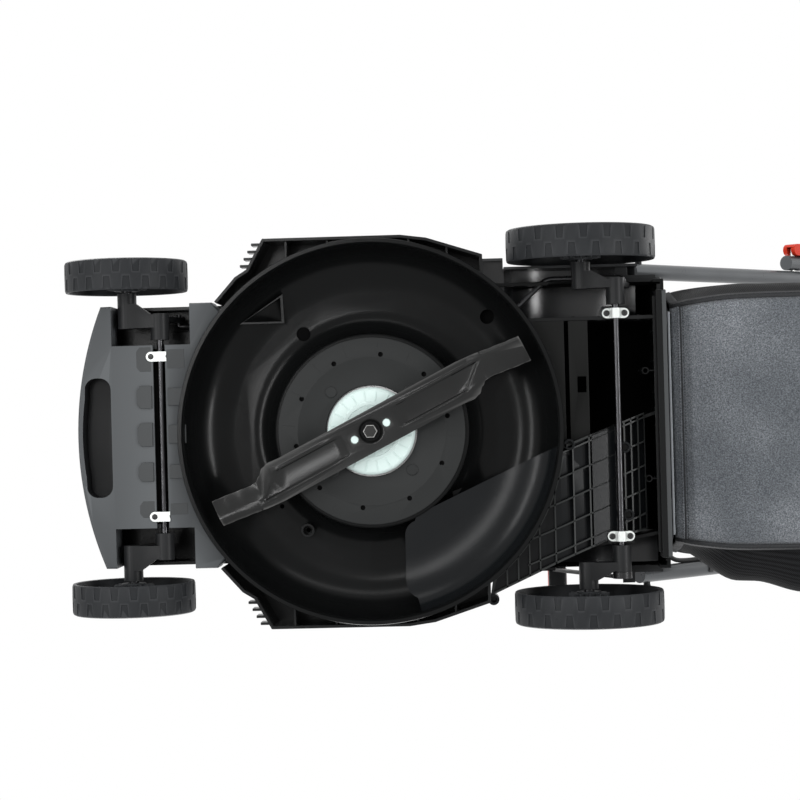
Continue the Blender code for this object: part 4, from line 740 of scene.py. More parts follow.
# The ribs and their border are lighter than the insert: painted light on their faces.
chute_ribs_painted_light = moulded("chute_ribs_painted_light", (0.0150, 0.0162, 0.0160), 0.34, 0.16, cloudy=0.08)


def polar(radius, angle, centre=(0, 0)):
    """The plan point at a distance and an angle in degrees from a centre."""
    return (centre[0] + radius * cos(radians(angle)), centre[1] + radius * sin(radians(angle)))


def moved(shape, offset=(0, 0, 0), turn=0.0, axis="Z"):
    """Turn a shape by degrees about an axis, then shift it."""
    if turn:
        shape.transform(Matrix.Rotation(radians(turn), 4, axis))
    shape.transform(Matrix.Translation(offset))
    return shape


def shelf_height(radius):
    """The insert's lower face: part of the ring channel's round section."""
    reach = min(1.0, max(0.0, (radius - 146) / 65))
    return 50 + 31 * sqrt(max(0.0, 1 - reach * reach))


def two_skins(rows, upper_rows, flipped=0):
    """A closed plate between two sheets of points; the first rows may run the other way."""
    shape = bmesh.new()
    low, high = [[[shape.verts.new(point) for point in row] for row in sheet]
                 for sheet in (rows, upper_rows)]
    long, wide = len(rows) - 1, len(rows[0]) - 1
    for grid in (low, high):
        grid[:flipped] = [row[::-1] for row in grid[:flipped]]
        for first, second in zip(grid, grid[1:]):
            for k in range(wide):
                shape.faces.new((first[k], second[k], second[k + 1], first[k + 1]))
    for i in range(long):
        for k in (0, wide):
            shape.faces.new((low[i][k], low[i + 1][k], high[i + 1][k], high[i][k]))
    for k in range(wide):
        for i in (0, long):
            shape.faces.new((low[i][k], low[i][k + 1], high[i][k + 1], high[i][k]))
    return closed(shape)


shelf_rows = [[(*polar(100 + 111 * k / 24, 183 + 87 * i / 60), shelf_height(100 + 111 * k / 24))
               for k in range(25)] for i in range(61)]
shelf = two_skins(shelf_rows, [[(x, y, z + 2.4) for x, y, z in row] for row in shelf_rows])
shelf_edge = [(-222, -17)] + [(-49, -97)] + arc((-52, -120), 17, 70, 0, 6) + \
    [(-35, -160)] + arc((-55, -172), 20, 0, -70, 6) + [(-60, -230), (-260, -230), (-260, -17)]
shelf = worked(shelf, ("keep", prism(shelf_edge, 30, 120)))

ramp_plan = [(-207, -26), (-312, 13), (-313, -121), (-268, -131), (RAMP_X, -152), (-131, -190)]
ramp_plan += [polar(217.5, a) for a in range(232, 186, -3)]


def ramp_layer(plan, low, high):
    """A slab over a plan that follows the ramp: level to its foot, then rising to the rear."""
    foot = CHUTE_FLOOR_Z
    end = foot + (RAMP_X + 340) * CHUTE_RISE
    profile = [(-120, foot + low), (RAMP_X, foot + low), (-340, end + low), (-340, end + high),
               (RAMP_X, foot + high), (-120, foot + high)]
    return worked(prism(plan, 30, 140), ("keep", side_prism(profile, -210, 30)))


ramp = ramp_layer(ramp_plan, 7, 9)
rib_field = ramp_layer(ramp_plan, -1.0, 8.0)
lattice = [block((x - 0.8, x + 0.8), (-200, 20), (40, 125))
           for x in (-150, -163, -176, -188, -206, -228, -247, -288, -296, -304, -312)]
for k in range(7):
    lattice.append(moved(block((-160, 60), (-0.8, 0.8), (40, 120)),
                         (-230, 3 - 27.5 * k, 0), -21.5))
solid_panel = prism([(-250, -200), (-284, -200), (-284, 40), (-250, 40)], 40, 122)
rib_parts = [worked(rib_field.copy(), ("keep", rib)) for rib in lattice]
border_plan = [(-208, -28.5), (-311, 10.8), (-311.6, -119), (-268, -128.8), (RAMP_X, -149.6),
               (-134, -186)] + [polar(220, a) for a in range(231, 187, -3)]
border = worked(rib_field.copy(), ("cut", prism(border_plan, 40, 130)))
middle = worked(rib_field, ("keep", solid_panel))
piece("chute_floor_shelf", shelf, chute_blue, "mower", ["chute_floor"], 0, 40)
piece("chute_floor_ramp", joined(ramp, middle), chute_blue, "mower", (), 0, 30)
piece("chute_floor_ribs", joined(border, *rib_parts), chute_ribs_painted_light, "mower", (),
      0, 30)
eyes = [drum(6.4, z, z + 20, 28, spot) for spot, z in
        (((-224, -21), 62), ((-134, -194), 60), ((-288, -26), 80), ((-290, -103), 80))]
eyes = worked(joined(*eyes), ("cut", joined(
    drums(3.6, 50, 76, 20, ((-224, -21), (-134, -194))),
    drums(4.0, 70, 90, 20, ((-288, -26), (-290, -103))))))
piece("chute_floor_bosses", eyes, chute_blue, "mower", (), 0.5, 34)

# Rear beam.  A charcoal bar screwed across the back of the rear body; the bag's frame
# hangs against its rear face.

beam_grey = moulded("beam_grey", (0.0045, 0.0048, 0.0050), 0.34, 0.10, cloudy=0.08, rubs=0.2)
piece("rear_beam_bar", block((-337.5, -326.5), (-152, 152), (72, 99.5)), beam_grey, "mower",
      ["rear_beam"], 0.6, 34)
# A lighter strip along the bar's lower rear edge: a painted highlight.
piece("rear_beam_edge", block((-337.9, -333.2), (-151, 151), (71.4, 73)), pad_shade_and_beam_highlight, "mower",
      (), 0.4, 34)
piece("rear_beam_lip", block((-326.6, -323.5), (-146, 146), (86, 89)), deck_black, "mower",
      (), 0.4, 34)

# Motor plate.  A grained grey disc that closes the hub under the motor, with ten drain holes
# and four moulded bosses, held by screws from inside the hub.

plate_grey = moulded("plate_grey", (0.023, 0.0242, 0.0243), 0.46, 0.12, 0.0007, 0.00004, 0.10,
                     rubs=0)
plate_rings = [(52, 78), (52, 75.2), (52.6, 74.7), (84, 74.7), (84.4, 74.5), (85.2, 74.5),
               (85.6, 74.7), (105.6, 74.7), (106.4, 75.0), (107, 75.8), (107, 78)]
plate = worked(turned(plate_rings, 160),
               ("cut", drums(2.9, 60, 90, 20, [polar(88, 170 + 36 * i) for i in range(10)])))
studs = [turned([(0, 73.4), (5.6, 73.4), (6.6, 74.0), (7, 75.5), (0, 75.5)], 28,
                (*polar(64, 45 + 90 * i), 0)) for i in range(4)]
for i in range(16):
    studs.append(moved(block((88, 103), (-0.5, 0.5), (74.55, 75)), (0, 0, 0), 22.5 * i + 5))
piece("motor_plate_disc", plate, plate_grey, "mower", ["motor_plate"], 0, 30)
# A near-black ring over the drain holes: painted shade, so that the holes read dark.
piece("motor_plate_hole_shade", turned([(80, 78.1), (96, 78.1), (96, 78.8), (80, 78.8)], 96),
      deck_shade, "mower", (), 0, 30)
piece("motor_plate_bosses", joined(*studs), plate_grey, "mower", (), 0.12, 30)

# Spindle disc.  A mint-white glass-filled moulding clamped between the shaft and the blade;
# it keeps wound grass off the bearing, and two of its pins turn the blade.


def streaked(name, colour, roughness, grain, low, high, rough, depth=0.0, **constants):
    """A surface whose colour and roughness follow one noise, and its bumps too if deep."""
    finish = Finish(name, colour, roughness, **constants)
    streaks = finish.grain(*grain)
    finish.feed("Base Color", finish.blend(streaks, low, high))
    finish.feed("Roughness", streaks * rough[0] + rough[1])
    if depth:
        finish.bump(streaks, depth)
    return finish


disc_mint = streaked("disc_mint", (0.66, 0.78, 0.75), 0.45, (0.012, 4, (1, 1, 3)),
                     (0.63, 0.76, 0.73), (0.69, 0.81, 0.785), (0.2, 0.32), 0.00004,
                     Specular_IOR_Level=0.12)
BLADE_TURN = 153
PIN_REACH = 20.5
disc_rings = [(8.3, 60.6), (17.5, 60.6), (18.5, 61.4), (19, 63.6), (28.6, 63.6), (29.2, 63.4),
              (29.8, 62.9), (33.2, 62.9), (33.8, 63.4), (35, 63.6), (45.5, 64.0), (47.5, 64.8),
              (49.4, 67.0), (50, 69), (50, 72.6), (8.3, 72.6)]
disc = [turned(disc_rings, 128)]
for i in range(20):
    disc.append(moved(block((20, 46), (-0.45, 0.45), (63.1, 66)), (0, 0, 0), BLADE_TURN + 18 * i))
for side in (1, -1):
    disc.append(turned([(0, 50.6), (4.1, 50.6), (4.7, 51.4), (4.7, 62), (0, 62)], 28,
                       (*polar(side * PIN_REACH, BLADE_TURN), 0)))
piece("spindle_disc_face", joined(*disc), disc_mint, "blade_rotor",
      ["spindle_disc"], 0.15, 30)

# Blade.  A pressed steel bar in black stoved paint, with a channel pressed along each half,
# narrowed ends, and trailing corners turned up as sails; its sharpened edges are bare.

BLADE_TIP = 197.5
BLADE_Z = 50.0
blade_black = Finish("blade_black", (0.009, 0.0094, 0.0095), 0.24, Specular_IOR_Level=0.24)
paint_fine = blade_black.grain(0.0011, 3)
paint_flow = blade_black.grain(0.03, 3)
bare = blade_black.edge_wear_and_highlight(0.525, 0.60)
blade_black.feed("Base Color", blade_black.blend(
    bare * 0.7, blade_black.blend(paint_flow, (0.0065, 0.0068, 0.0068), (0.0125, 0.0128, 0.0126)),
    (0.10, 0.10, 0.098)))
blade_black.feed("Roughness", paint_flow * 0.10 + paint_fine * 0.06 + 0.12)
blade_black.bump(paint_fine, 0.00005)


def blade_edge(u):
    """Leading and trailing edge of the blade at a distance from its centre."""
    stations = [(0, -23, 23), (105, -23, 23), (120, -23, 24), (128, -22.5, 22),
                (136, -22, 15.5), (142, -21.5, 11.2), (150, -20.5, 10.6), (165, -18.5, 12.4),
                (184, -16.3, 14.8), (197.5, -15, 16)]
    for (a, low_a, high_a), (b, low_b, high_b) in zip(stations, stations[1:]):
        if u <= b:
            t = (u - a) / (b - a)
            t = t * t * (3 - 2 * t)
            return low_a + (low_b - low_a) * t, high_a + (high_b - high_a) * t
    return stations[-1][1:]


def eased(value, low, high):
    """0 below low, 1 above high and smooth between them."""
    t = min(1.0, max(0.0, (value - low) / (high - low)))
    return t * t * (3 - 2 * t)


def pressed(u, v):
    """How far the blade's metal is pressed up at a spot."""
    end = 131 - 1.15 * v
    trough = eased(u, 30, 44) * (1 - eased(u, end - 3, end)) * eased(v, -12.8, -11.0) * \
        (1 - eased(v, 10.2, 12.0))
    bead = 0.9 * eased(u, 40, 60) * (1 - eased(u, end - 8, end)) * \
        (max(0.0, 1 - abs(v + 14.5) / 1.6) + max(0.0, 1 - abs(v - 13.5) / 1.6))
    dish = 1.6 * (1 - eased(sqrt(u * u + v * v), 11.5, 14))
    return 2.4 * trough - bead + dish


layers = []
for level in (0.0, 3.0):
    rows = []
    for u in [BLADE_TIP * k / 110 for k in range(-110, 111)]:
        low, high = blade_edge(abs(u))
        row = []
        for k in range(41):
            t = k / 40
            v = low + (high - low) * t
            lift = 10.0 * max(0.0, (abs(u) - 142) / 55.5) ** 0.6 * max(0.0, t - 0.4) / 0.6
            z = BLADE_Z + level + lift + pressed(abs(u), v)
            if level == 0.0 and abs(u) > 150 and t < 0.12:
                z += 2.2 * (1 - t / 0.12)
            row.append((u, v, z) if u > 0 else (u, -v, z))
        rows.append(row)
    layers.append(rows)
blade_shape = two_skins(*layers, flipped=111)
blade_ready = worked(closed(moved(blade_shape, turn=BLADE_TURN)), ("cut", joined(
    drum(5.3, 40, 62), drums(5.0, 40, 66, 32, [polar(s * PIN_REACH, BLADE_TURN)
                                               for s in (1, -1)]))))
piece("blade_bar", blade_ready, blade_black, "blade_rotor", ["blade"], 0, 42)

# Blade bolt.  A flanged hexagon bolt in black-oiled steel, screwed up into the shaft.

bolt_steel = streaked("bolt_steel", (0.10, 0.10, 0.10), 0.36, (0.0009, 2, (1, 1, 0.2)),
                      (0.014, 0.014, 0.014), (0.036, 0.036, 0.035), (0.25, 0.25), 0.00002,
                      Metallic=0.85)
# The flange is near-black: painted shade for the gap round the hexagon head.
flange_painted_shade = moulded("flange_painted_shade", (0.0035, 0.0036, 0.0038), 0.5, 0.08, rubs=0)
# The hexagon's lower corners are a lighter steel: a painted highlight round the head.
corner_highlight_steel = Finish("corner_highlight_steel", (0.22, 0.22, 0.215), 0.35, Metallic=0.9)
highlight_grain = corner_highlight_steel.grain(0.002, 3)
corner_highlight_steel.feed("Base Color", corner_highlight_steel.blend(highlight_grain, (0.07, 0.07, 0.068),
                                                   (0.42, 0.42, 0.41)))


def hexagon(radius, z):
    """Six corners about the spindle."""
    return [(*polar(radius, 60 * i), z) for i in range(6)]


bolt_parts = [lofted([hexagon(8.1, 47.4), hexagon(8.1, 41.1)]),
              turned([(0, 47), (5, 47), (5, 73), (0, 73)], 48)]
corners = lofted([hexagon(8.0, 42.2), hexagon(8.4, 42.2), hexagon(8.4, 41.4),
                  hexagon(7.9, 40.9), hexagon(7.2, 40.9), hexagon(7.0, 41.3)], False)
flange = turned([(0, 47.3), (10.6, 47.3), (11, 47.6), (11, 49.5), (0, 49.5)], 48)
piece("blade_bolt_head", joined(*bolt_parts), bolt_steel, "blade_rotor",
      ["blade_bolt"], 0.75, 30)
piece("blade_bolt_corners", corners, corner_highlight_steel, "blade_rotor", (), 0, 20)
piece("blade_bolt_flange", flange, flange_painted_shade, "blade_rotor", (), 0.2, 30)

# Axle rods.  Oiled drawn steel rods that join the left and right cranks at each end; they
# turn in their seats when the cutting height is set.

rod_steel = Finish("rod_steel", (0.09, 0.09, 0.095), 0.20, Metallic=1.0)
drawn = rod_steel.grain(0.0012, 3, (1, 0.05, 1))
dull = rod_steel.grain(0.02, 3)
rod_steel.feed("Base Color", rod_steel.blend(dull, (0.028, 0.028, 0.030), (0.066, 0.066, 0.069)))
rod_steel.feed("Roughness", drawn * 0.14 + dull * 0.10 + 0.12)
rod_steel.bump(drawn, 0.00001)


def cross_pin(x, z, right, left, radius, steps=32, round_end=0.0):
    """A cylinder along Y, with its ends rounded over if asked."""
    e = round_end
    ends = [(0, right), (radius - e, right), (radius, right + e), (radius, left - e),
            (radius - e, left), (0, left)]
    return turned(ends if e else ends[:1] + [(radius, right), (radius, left)] + ends[-1:], steps,
                  (x, 0, z), "Y")


for end, rod, reach in (("front", FRONT_ROD, 134), ("rear", REAR_ROD, 160)):
    piece(f"{end}_rod", cross_pin(rod[0], rod[1], -reach, reach, 4.0, 48, 0.6), rod_steel,
          f"{end}_axle", [f"{end}_axle_rod"], 0, 40)

# Rod clips.  White-zinc plates pressed over the rods and held by black pan-head screws: one
# screw at the front clips, two at the rear ones.

clip_zinc = streaked("clip_zinc", (0.80, 0.82, 0.80), 0.38, (0.003, 4), (0.70, 0.74, 0.72),
                     (0.84, 0.86, 0.84), (0.2, 0.28), 0.00001, Metallic=0.25,
                     Specular_IOR_Level=0.5)
screw_black = streaked("screw_black", (0.020, 0.020, 0.021), 0.32, (0.0008, 2),
                       (0.014, 0.014, 0.014), (0.034, 0.034, 0.034), (0.2, 0.24), Metallic=0.4)
SIDES = ((1, "left"), (-1, "right"))


def pan_head(x, y, z, radius=3.4):
    """A pan head seen from below, with its cross recess."""
    head = turned([(0, z - 2.0), (radius - 1.1, z - 2.0), (radius - 0.3, z - 1.5),
                   (radius, z - 0.6), (radius, z), (0, z)], 32, (x, y, 0))
    slots = [moved(block((-1.9, 1.9), (-0.45, 0.45), (z - 3, z - 1.1)), (x, y, 0), turn)
             for turn in (28, 118)]
    return worked(head, ("cut", slots[0]), ("cut", slots[1]))


for side, word in SIDES:
    x, z = FRONT_ROD
    y = side * 91
    plan = [(x - 7.6, y - 5.6), (x - 7.6, y - 1.6), (x - 6.8, y - 1.0), (x - 6.8, y + 1.0),
            (x - 7.6, y + 1.6), (x - 7.6, y + 5.6)]
    plan += arc((x + 10, y), 5.6, 90, -90, 14)
    clip = worked(prism(plan, 55.1, 56.7), ("cut", drum(2.9, 50, 60, 24, (x + 10, y))))
    piece(f"front_{word}_clip", clip, clip_zinc, "mower",
          [f"front_{word}_strap"], 0.25, 34)
    piece(f"front_{word}_clip_screw", pan_head(x + 10, y, 56.0), screw_black, "mower",
          (), 0.12, 34)
    x, z = REAR_ROD
    y = side * 127
    profile = [(x - 16, 80.4), (x - 7.4, 80.4), (x - 5.6, 78), (x - 4.4, 73.2), (x - 3, 72.1),
               (x + 3, 72.1), (x + 4.4, 73.2), (x + 5.6, 78), (x + 7.4, 80.4), (x + 16, 80.4),
               (x + 16, 82), (x + 4.3, 82), (x + 4.3, 79), (x + 3.2, 74.4), (x + 2, 73.7),
               (x - 2, 73.7), (x - 3.2, 74.4), (x - 4.3, 79), (x - 4.3, 82), (x - 16, 82)]
    plan = arc((x + 9.6, y), 5.8, 90, -90, 14) + arc((x - 9.6, y), 5.8, 270, 90, 14)
    clip = worked(side_prism(profile, y - 8, y + 8), ("keep", prism(plan, 60, 90)))
    piece(f"rear_{word}_clip", clip, clip_zinc, "mower",
          [f"rear_{word}_strap"], 0.25, 34)
    piece(f"rear_{word}_clip_screws", joined(*[pan_head(x + a, y, 80.6, 3.6)
                                               for a in (-10.2, 10.2)]),
          screw_black, "mower", (), 0.12, 34)

# Cranks.  Glass-filled black mouldings on the ends of the rods: each carries a wheel's stub
# axle in front of its rod, so turning the rod lifts the machine.

CRANK_REACH = (38, 7)


def capsule_side(start, end, radius, right, left, steps=20):
    """A bar with round ends between two points of the side view, from right to left."""
    lean = degrees(atan2(end[1] - start[1], end[0] - start[0]))
    outline = arc(end, radius, lean - 90, lean + 90, steps) + \
        arc(start, radius, lean + 90, lean + 270, steps)
    return side_prism(outline, right, left)


def crank(rod, inner, boss_out, stub_in, wheel_in, shoulder):
    """One crank on the left side: rod boss, tapered arm, stub boss and stub axle."""
    wheel = (rod[0] + CRANK_REACH[0], rod[1] + CRANK_REACH[1])
    arm = worked(capsule_side(rod, wheel, 10.2, stub_in, wheel_in),
                 ("keep", prism([(wheel[0] + 20, stub_in), (wheel[0] + 20, shoulder),
                                 (wheel[0] - 10.4, shoulder), (rod[0] + 9, boss_out - 1),
                                 (rod[0] - 20, boss_out - 1), (rod[0] - 20, stub_in)], 0, 200)))
    body = worked(arm, ("weld", cross_pin(*rod, inner, boss_out, 10.6, 56)))
    body = worked(body, ("weld", cross_pin(*wheel, stub_in - 0.4, wheel_in - 1.2, 10.9, 56)))
    return worked(body, ("cut", cross_pin(*rod, inner - 5, inner + 4, 4.6)))


for end, rod, spans in (("front", FRONT_ROD, (110, 140, 124, 165, 152)),
                        ("rear", REAR_ROD, (137, 167, 156, 187.5, 176))):
    for side, word in SIDES:
        shape = crank(rod, *spans)
        stub = cross_pin(rod[0] + CRANK_REACH[0], rod[1] + CRANK_REACH[1], spans[3] - 3,
                         spans[3] + 26, 6.0, 40, 0.8)
        if side > 0:
            tip = (rod[0] - 14, rod[1] + 58)
            horn = worked(capsule_side(rod, tip, 6.5, spans[1] - 9, spans[1] - 3),
                          ("cut", cross_pin(tip[0], tip[1], 90, 200, 3.4, 24)))
            shape = joined(shape, horn)
        piece(f"{end}_{word}_crank_arm", mirrored(shape, side), crank_black, f"{end}_axle",
              [f"{end}_{word}_crank"], 0.9, 36)
        piece(f"{end}_{word}_stub_axle", mirrored(stub, side), rod_steel, f"{end}_axle",
              (), 0, 40)

# Height link.  A thin bent rod, blackened, that ties the two axles so that both ends of the
# machine rise together; it passes over the deck and through slots in its walls.

link_dark = streaked("link_dark", (0.035, 0.036, 0.038), 0.30, (0.004, 3),
                     (0.022, 0.022, 0.024), (0.07, 0.071, 0.073), (0.2, 0.2), Metallic=0.75)


def tube(points, radius, sides=24):
    """A round tube along a path, kept from twisting."""
    spine = [Vector(p) for p in points]
    ways = []
    for i, here in enumerate(spine):
        before = here - spine[i - 1] if i else spine[1] - here
        after = spine[i + 1] - here if i < len(spine) - 1 else before
        ways.append((before.normalized() + after.normalized()).normalized())
    side = ways[0].orthogonal().normalized()
    rings = []
    for i, way in enumerate(ways):
        side = (side - way * side.dot(way)).normalized()
        up = way.cross(side)
        rings.append([spine[i] + side * radius * cos(2 * pi * k / sides) +
                      up * radius * sin(2 * pi * k / sides) for k in range(sides)])
    return lofted(rings)


def rounded_route(corners, radius, steps=7):
    """The same path with each corner turned into a bend."""
    spots = [Vector(p) for p in corners]
    route = [spots[0]]
    for before, here, after in zip(spots, spots[1:], spots[2:]):
        reach = min(radius, (here - before).length * 0.45, (after - here).length * 0.45)
        start = here + (before - here).normalized() * reach
        end = here + (after - here).normalized() * reach
        for i in range(steps + 1):
            t = i / steps
            route.append(start * (1 - t) ** 2 + here * 2 * t * (1 - t) + end * t ** 2)
    return route + spots[-1:]


link_route = [(-295, 157.5, 136), (-295, 171.2, 136), (-205, 171.2, 136), (-158, 126.8, 136),
              (168, 126.8, 136), (219, 126.8, 121), (224, 127.5, 121), (224, 140.6, 121)]
piece("height_link_rod", tube(rounded_route(link_route, 8), 2.9, 20), link_dark, "link",
      ["height_link"], 0, 40)

# Wheels.  Moulded black wheels with a shallow staggered tread, a dished face outside, and an
# open back with a ribbed hub that runs on the crank's stub axle.

tread_black = Finish("tread_black", (0.013, 0.014, 0.016), 0.40, Specular_IOR_Level=0.15)
tread_fine = tread_black.grain(0.0009, 3)
tread_dust = tread_black.grain(0.035, 4)
# The tread's convex edges are lightened here: a painted highlight.
tread_edge_highlight = tread_black.edge_wear_and_highlight(0.505, 0.56)
tread_black.feed("Base Color", tread_black.blend(
    tread_edge_highlight * 0.35,
    tread_black.blend(tread_dust, (0.010, 0.0110, 0.0125), (0.019, 0.0205, 0.0225)),
    (0.065, 0.068, 0.072)))
tread_black.feed("Roughness", tread_dust * 0.18 + tread_fine * 0.08 + 0.38)
tread_black.bump(tread_fine, 0.00005)
NOTCHES = 20


def wheel_shape(radius, width):
    """A wheel on its own axis: heights run from the inner face to the outer one."""
    face = width - 9
    core = turned([(6.3, 1.5), (13.5, 1.5), (14.5, 2.5), (15, face - 6), (radius - 24, face - 6),
                   (radius - 7, face - 9), (radius - 5.2, 2), (radius - 4.6, 0.6),
                   (radius - 1.6, 0.2), (radius - 0.9, 0.8), (radius - 0.2, 3),
                   (radius, width * 0.5), (radius - 0.2, width - 4), (radius - 1, width - 1.6),
                   (radius - 3, width - 0.4), (radius - 12, width), (radius - 14, width - 0.8),
                   (radius - 19, face + 1), (26, face - 1), (21, face + 2), (19, face + 2.5),
                   (6.3, face + 2.5)], NOTCHES * 8)
    notches = []
    for i in range(NOTCHES):
        for shift, ends in ((0.0, ((width * 0.56, 3.4), (width + 2, 4.9))),
                            (0.5, ((-2, 4.9), (width * 0.42, 3.4)))):
            centre = 2 * pi * (i + shift) / NOTCHES
            notches.append(lofted([[
                (r * cos(centre + half), r * sin(centre + half), height) for half, r in (
                    (-wide / radius, radius - 0.8), (wide / radius, radius - 0.8),
                    (wide / radius, radius + 4), (-wide / radius, radius + 4))]
                for height, wide in ends]))
    core = worked(core, ("cut", joined(*notches)))
    ribs = [moved(block((14, 23), (-0.8, 0.8), (3, face - 4)), (0, 0, 0), 30 * i)
            for i in range(12)]
    spokes = [moved(block((22, radius - 8), (-1.0, 1.0), (face - 12, face - 5)), (0, 0, 0),
                    60 * i + 15) for i in range(6)]
    return joined(core, *ribs, *spokes)


cap_grey = moulded("cap_grey", (0.040, 0.042, 0.045), 0.34, 0.30)
for end, radius, width, x, inner in (("front", 70.0, 36.0, 276.0, 165.0),
                                     ("rear", 85.0, 37.5, -243.0, 187.5)):
    pattern = wheel_shape(radius, width)
    cap = turned([(0, width - 3.4), (12, width - 3.8), (20, width - 5), (24, width - 7.6),
                  (25, width - 9.6), (0, width - 9.6)], 72)
    for side, word in SIDES:
        for name, source, finish, slot, node, edge in (
                ("wheel_body", pattern, tread_black, "tyre_plastic", "wheel", 0.22),
                ("wheel_cap", cap, cap_grey, "hood_plastic", "hub_cap", 0.4)):
            shape = source.copy()
            shape.transform(Matrix.Rotation(-side * pi / 2, 4, "X"))
            shape.transform(Matrix.Translation((x, side * inner, radius)))
            piece(f"{end}_{word}_{name}", closed(shape), finish, f"{end}_{word}_wheel",
                  [f"{end}_{word}_{node}"], edge, 32, 1)

# Grass bag.  A heathered felt bottom sewn to knitted mesh sides and rear, with bound seams and
# a turned hem at the mouth; the cloth sags a little and bellies out on its right side.

BAG_FRONT = -346.0
BAG_LENGTH = 455.0
BAG_LOW = 76.0
BAG_HIGH = 222.0
BAG_HALF_LOW = 147.0
BAG_HALF_HIGH = 164.0
BAG_CORNER = 26.0
BAG_SAG = 4.5
BAG_ROWS = 84
LEFT_SEAM = 20
RIGHT_SEAM = 53
bag_stations = [(0.0, 0.94, 34.0), (0.05, 0.97, 20.0), (0.16, 1.0, 4.0), (0.45, 1.0, 0.0),
                (0.8, 0.99, 3.0), (0.93, 0.94, 14.0), (1.0, 0.84, 32.0)]

bag_felt = Finish("bag_felt", (0.13, 0.14, 0.15), 0.88, Specular_IOR_Level=0.18,
                  Sheen_Weight=0.12, Sheen_Roughness=0.5)
fibre = bag_felt.between(bag_felt.grain(0.0016, 5, rough=0.8), 0.40, 0.60)
fleck = bag_felt.between(bag_felt.cells(0.0017), 0.30, 0.62)
patch = bag_felt.between(bag_felt.grain(0.13, 2), 0.36, 0.68)
deep = bag_felt.blend(fibre, (0.058, 0.065, 0.074), (0.175, 0.190, 0.208))
pale = bag_felt.blend(fibre, (0.098, 0.107, 0.119), (0.315, 0.335, 0.360))
bag_felt.feed("Base Color", bag_felt.blend(fleck * 0.35, bag_felt.blend(patch, deep, pale),
                                           (0.062, 0.068, 0.077)))
bag_felt.feed("Roughness", fibre * 0.12 + 0.80)
bag_felt.bump(fibre * 0.7 + fleck * 0.3, 0.0004)

bag_net = Finish("bag_net", (0.02, 0.02, 0.02), 0.8, Specular_IOR_Level=0.1)
courses = ((bag_net.along(0) + bag_net.along(1)) * (2 * pi / 0.0024)).sine()
wales = (bag_net.along(2) * (2 * pi / 0.0030)).sine()
knit = bag_net.between(courses * 0.6 + wales * 0.4, -0.35, 0.55)
net_patch = bag_net.grain(0.05, 3)
bag_net.feed("Base Color", bag_net.blend(knit, (0.003, 0.003, 0.0035), (0.022, 0.023, 0.0245)))
bag_net.feed("Roughness", net_patch * 0.2 + 0.65)
bag_net.bump(knit, 0.0007)

binding_black = Finish("binding_black", (0.022, 0.023, 0.025), 0.7, Specular_IOR_Level=0.3)
twill = ((binding_black.along(0) + binding_black.along(1) + binding_black.along(2)) *
         (2 * pi / 0.0016)).sine()
binding_black.feed("Base Color", binding_black.blend(
    binding_black.between(twill, -0.6, 0.6), (0.012, 0.0125, 0.014), (0.036, 0.038, 0.041)))
binding_black.feed("Roughness", binding_black.grain(0.004) * 0.2 + 0.6)
binding_black.bump(binding_black.between(twill, -0.6, 0.6), 0.0002)


def along_curve(stations, place):
    """Values at a place on a smooth curve through stations, each led by its own place."""
    i = min(len(stations) - 2, max(0, sum(s[0] <= place for s in stations) - 1))
    first, second = stations[i], stations[i + 1]
    before = stations[max(i - 1, 0)]
    after = stations[min(i + 2, len(stations) - 1)]
    span = second[0] - first[0]
    s = (place - first[0]) / span
    values = []
    for k in range(1, len(first)):
        leave = (second[k] - before[k]) / (second[0] - before[0]) * span
        reach = (after[k] - first[k]) / (after[0] - first[0]) * span
        values.append((2 * s ** 3 - 3 * s ** 2 + 1) * first[k] +
                      (s ** 3 - 2 * s ** 2 + s) * leave +
                      (3 * s ** 2 - 2 * s ** 3) * second[k] + (s ** 3 - s ** 2) * reach)
    return values


def bag_section(share, proud=0.0):
    """The cloth's outline at a share of its length, from the lid's left edge to its right."""
    wide, lift = along_curve(bag_stations, share)
    x = BAG_FRONT - BAG_LENGTH * share
    low = BAG_LOW + lift - proud
    low_half = BAG_HALF_LOW * wide + proud
    high_half = BAG_HALF_HIGH * wide - 1 + proud
    loose = eased(share, 0.0, 0.16) * (1 - eased(share, 0.80, 1.0))
    halves = []
    for side, belly in ((1, 5.0), (-1, 33.0 + 15.0 * eased(share, 0.20, 0.33))):
        half = []
        for k in range(17):
            t = k / 16
            crease = 1.3 * noise.noise(Vector((x / 46, side * 3.1, t * 2.6))) * loose
            half.append((x, side * (high_half + (low_half - high_half) * t +
                                    belly * loose * sin(pi * t ** 2.0) + crease),
                         BAG_HIGH + (low + BAG_CORNER - BAG_HIGH) * t))
        for k in range(1, 9):
            a = radians(90 - 11.25 * k)
            half.append((x, side * (low_half - BAG_CORNER + BAG_CORNER * sin(a)),
                         low + BAG_CORNER - BAG_CORNER * cos(a)))
        halves.append(half)
    flat = low_half - BAG_CORNER
    bottom = []
    for k in range(1, 24):
        v = 1 - k / 12
        dent = 1.0 * noise.noise(Vector((x / 70, v * 2.2, 0.5)))
        bottom.append((x, flat * v, low - (BAG_SAG * (1 - v * v) + dent * (1 - v * v)) * loose))
    return halves[0] + bottom + halves[1][::-1]


def skin(rows):
    """A sheet through rows of points."""
    shape = bmesh.new()
    grid = [[shape.verts.new(point) for point in row] for row in rows]
    for first, second in zip(grid, grid[1:]):
        for i in range(len(first) - 1):
            shape.faces.new((first[i], second[i], second[i + 1], first[i + 1]))
    return shape


def cloth(name, rows, finish, thick, stands_for=()):
    """A panel of the bag, thickened to both sides."""
    made = piece(name, skin(rows), finish, "bag", stands_for, 0, 60)
    body = made.modifiers.new("cloth_thickness", "SOLIDIFY")
    body.thickness = thick * MM
    body.offset = 0
    return made


